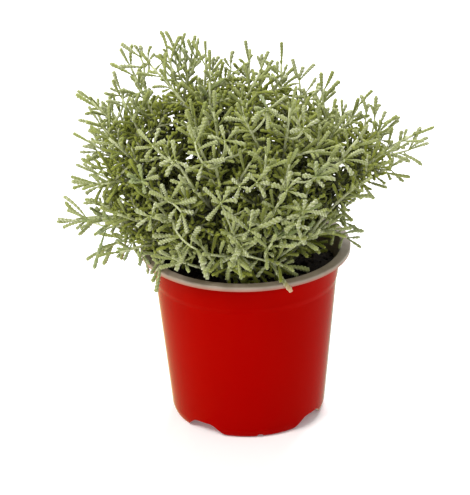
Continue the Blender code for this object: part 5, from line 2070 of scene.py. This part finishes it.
def leaf_look(kind, length, under, draw):
    """The grade of a leaf, and how pale it is."""
    if under > GRADE_DEPTHS[1]:
        level = 3
    elif under > GRADE_DEPTHS[0]:
        level = 2
    else:
        level = 0 if length > LONG_LEAF else 1
    tone = draw.uniform(*TONES.get(kind, (0.0, 1.0)))
    return draw.choice(grades[level]), tone


print("leaves are at their darkest", DEEP * 1000, "mm inside the crown")

# %% [markdown]
# ## One stem with all it carries
#
# Axes come first, as tubes that taper and swell a little. Then each leaf is laid on its rod. Leaves
# of the named shoots always count as lying at the surface, and the one that hangs over the rim has
# a dry tip, as an old leaf that light and water no longer reach has.

# %% Axes and leaves
AXIS_RADII = {"stem": (0.0015, 0.0008), "shoot": (0.0011, 0.0007), "twig": (0.0008, 0.0006)}
STEM_DEPTH = 0.020
SWELL = 0.10
SWELL_STEP = 2.3
FULL_BARK = 0.075
LEAF_BOWS = (-0.03, 0.09)
LEAF_WIDTHS = (0.84, 1.10)
SHORT_LEAF_WIDTH = 0.74
STAR_WIDTH = 1.12
LAID_WIDTHS = {"front": 1.25, "side": 1.02}
LAID_DEPTH = 0.05
PALE_FRONT = -0.040
HINT_SPREAD = 0.6
DRY_TIP = 0.90
DRY_FRONT = -0.060
DRY_BELOW = POT_HEIGHT - 0.001


def gather_axes(gathered, number, stem):
    """The tubes of a stem, its shoots and its twigs."""
    for order, (path, kind) in enumerate(zip(stem["fine"], stem["kinds"])):
        role = "stem" if order == 0 else "shoot" if kind in ("shoot", "star") else "twig"
        thick, thin = AXIS_RADII[role]
        if order == 0:
            path = np.vstack([path[0] - UP * STEM_DEPTH, path])
        share = np.linspace(0, 1, len(path))
        radii = thick + (thin - thick) * share
        radii = radii * (1 + SWELL * np.sin(share * len(path) * SWELL_STEP + number))
        points, faces = tube(path, radii, STEM_SIDES)
        below = np.array([max(0.0, under_fill(place)) for place in path]).repeat(STEM_SIDES)
        # The depth darkens the bark as painted shade; the bark share says how old and woody it is.
        depths = np.clip(below / DEEP, 0, 1)
        gathered.take(points, faces, 1, depth=depths, bark=np.clip(below / FULL_BARK, 0, 1))


def gather_leaf(gathered, path, kind, back, tip, draw):
    """One leaf on its axis, in its grade, size and tone."""
    start, tangent = along(path, back)
    length = float(np.linalg.norm(tip - start))
    depth, under = depth_of((start + tip) / 2)
    wide = STAR_WIDTH if kind == "star" else 1.0
    if kind == "laid":
        wide = LAID_WIDTHS["front" if tip[1] < PALE_FRONT else "side"]
        under = min(under, 0.0)
        # Named leaves get almost no painted shade.
        depth = min(depth, LAID_DEPTH)
    grade, tone = leaf_look(kind, length, under, draw)
    points, faces, teeth = grade
    width = SHORT_LEAF_WIDTH + (1 - SHORT_LEAF_WIDTH) * min(1.0, length / LEAF_LENGTH)
    width = width * draw.uniform(*LEAF_WIDTHS) * wide
    hint = tangent + np.array([draw.uniform(-HINT_SPREAD, HINT_SPREAD) for _ in range(3)])
    bow = draw.uniform(*LEAF_BOWS)
    if kind == "laid":
        hint = UP
    placed = placed_leaf(grade, start, tip, hint, width, draw.uniform(0, math.pi), bow)
    over_rim = tip[2] < DRY_BELOW and tip[1] < DRY_FRONT
    dry = DRY_TIP * np.clip(points[:, 2] * 3 - 2, 0, 1) if over_rim else 0.0
    gathered.take(placed, faces, 0, tooth=teeth, tone=tone, depth=depth, dry=dry)


print("axes:", ", ".join(f"{role} {thick * 2000} mm thick" for role, (thick, thin) in AXIS_RADII.items()))

# %% [markdown]
# ## Building the leafy stems
#
# Every stem becomes one object that replaces its solid. The numbers for each point are written
# into the mesh as attributes, where the materials find them by name.

# %% Build the stems


def build_stem(number, stem, draw):
    """The object of one stem, with its shoots, twigs and leaves, in place of its solid."""
    gathered = Gathered()
    gather_axes(gathered, number, stem)
    for order, back, tip in stem["leaves"]:
        gather_leaf(gathered, stem["fine"][order], stem["kinds"][order], back, tip, draw)
    name = f"leafy_stem_{number + 1:02d}"
    mesh = bpy.data.meshes.new(name)
    mesh.from_pydata(np.vstack(gathered.points), [], gathered.faces)
    mesh.polygons.foreach_set("material_index", gathered.slots)
    for value, store in gathered.values.items():
        layer = mesh.attributes.new(value, "FLOAT", "POINT")
        layer.data.foreach_set("value", np.concatenate(store))
    mesh.materials.append(felt)
    mesh.materials.append(bark)
    mesh.shade_smooth()
    made = new_object(name, mesh)
    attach(made, "root")
    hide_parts(f"stem_{number + 1:02d}")
    return made


def triangles(made):
    return sum(len(face.vertices) - 2 for face in made.data.polygons)


draw = random.Random(FILL_SEED + 1)
leafy_stems = [build_stem(number, stem, draw) for number, stem in enumerate(stems)]
counts = [triangles(made) for made in leafy_stems]
print("stem triangles:", sum(counts), "largest:", max(counts))
print("all triangles:", sum(counts) + triangles(pot) + triangles(peat))

# %% [markdown]
# ## Size and finish
#
# The dressed plant has to stay as large as its solids. The last line prints its box.

# %% Finish
low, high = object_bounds()
print("dressed box:", [round(v * 1000) for v in high - low], "mm")
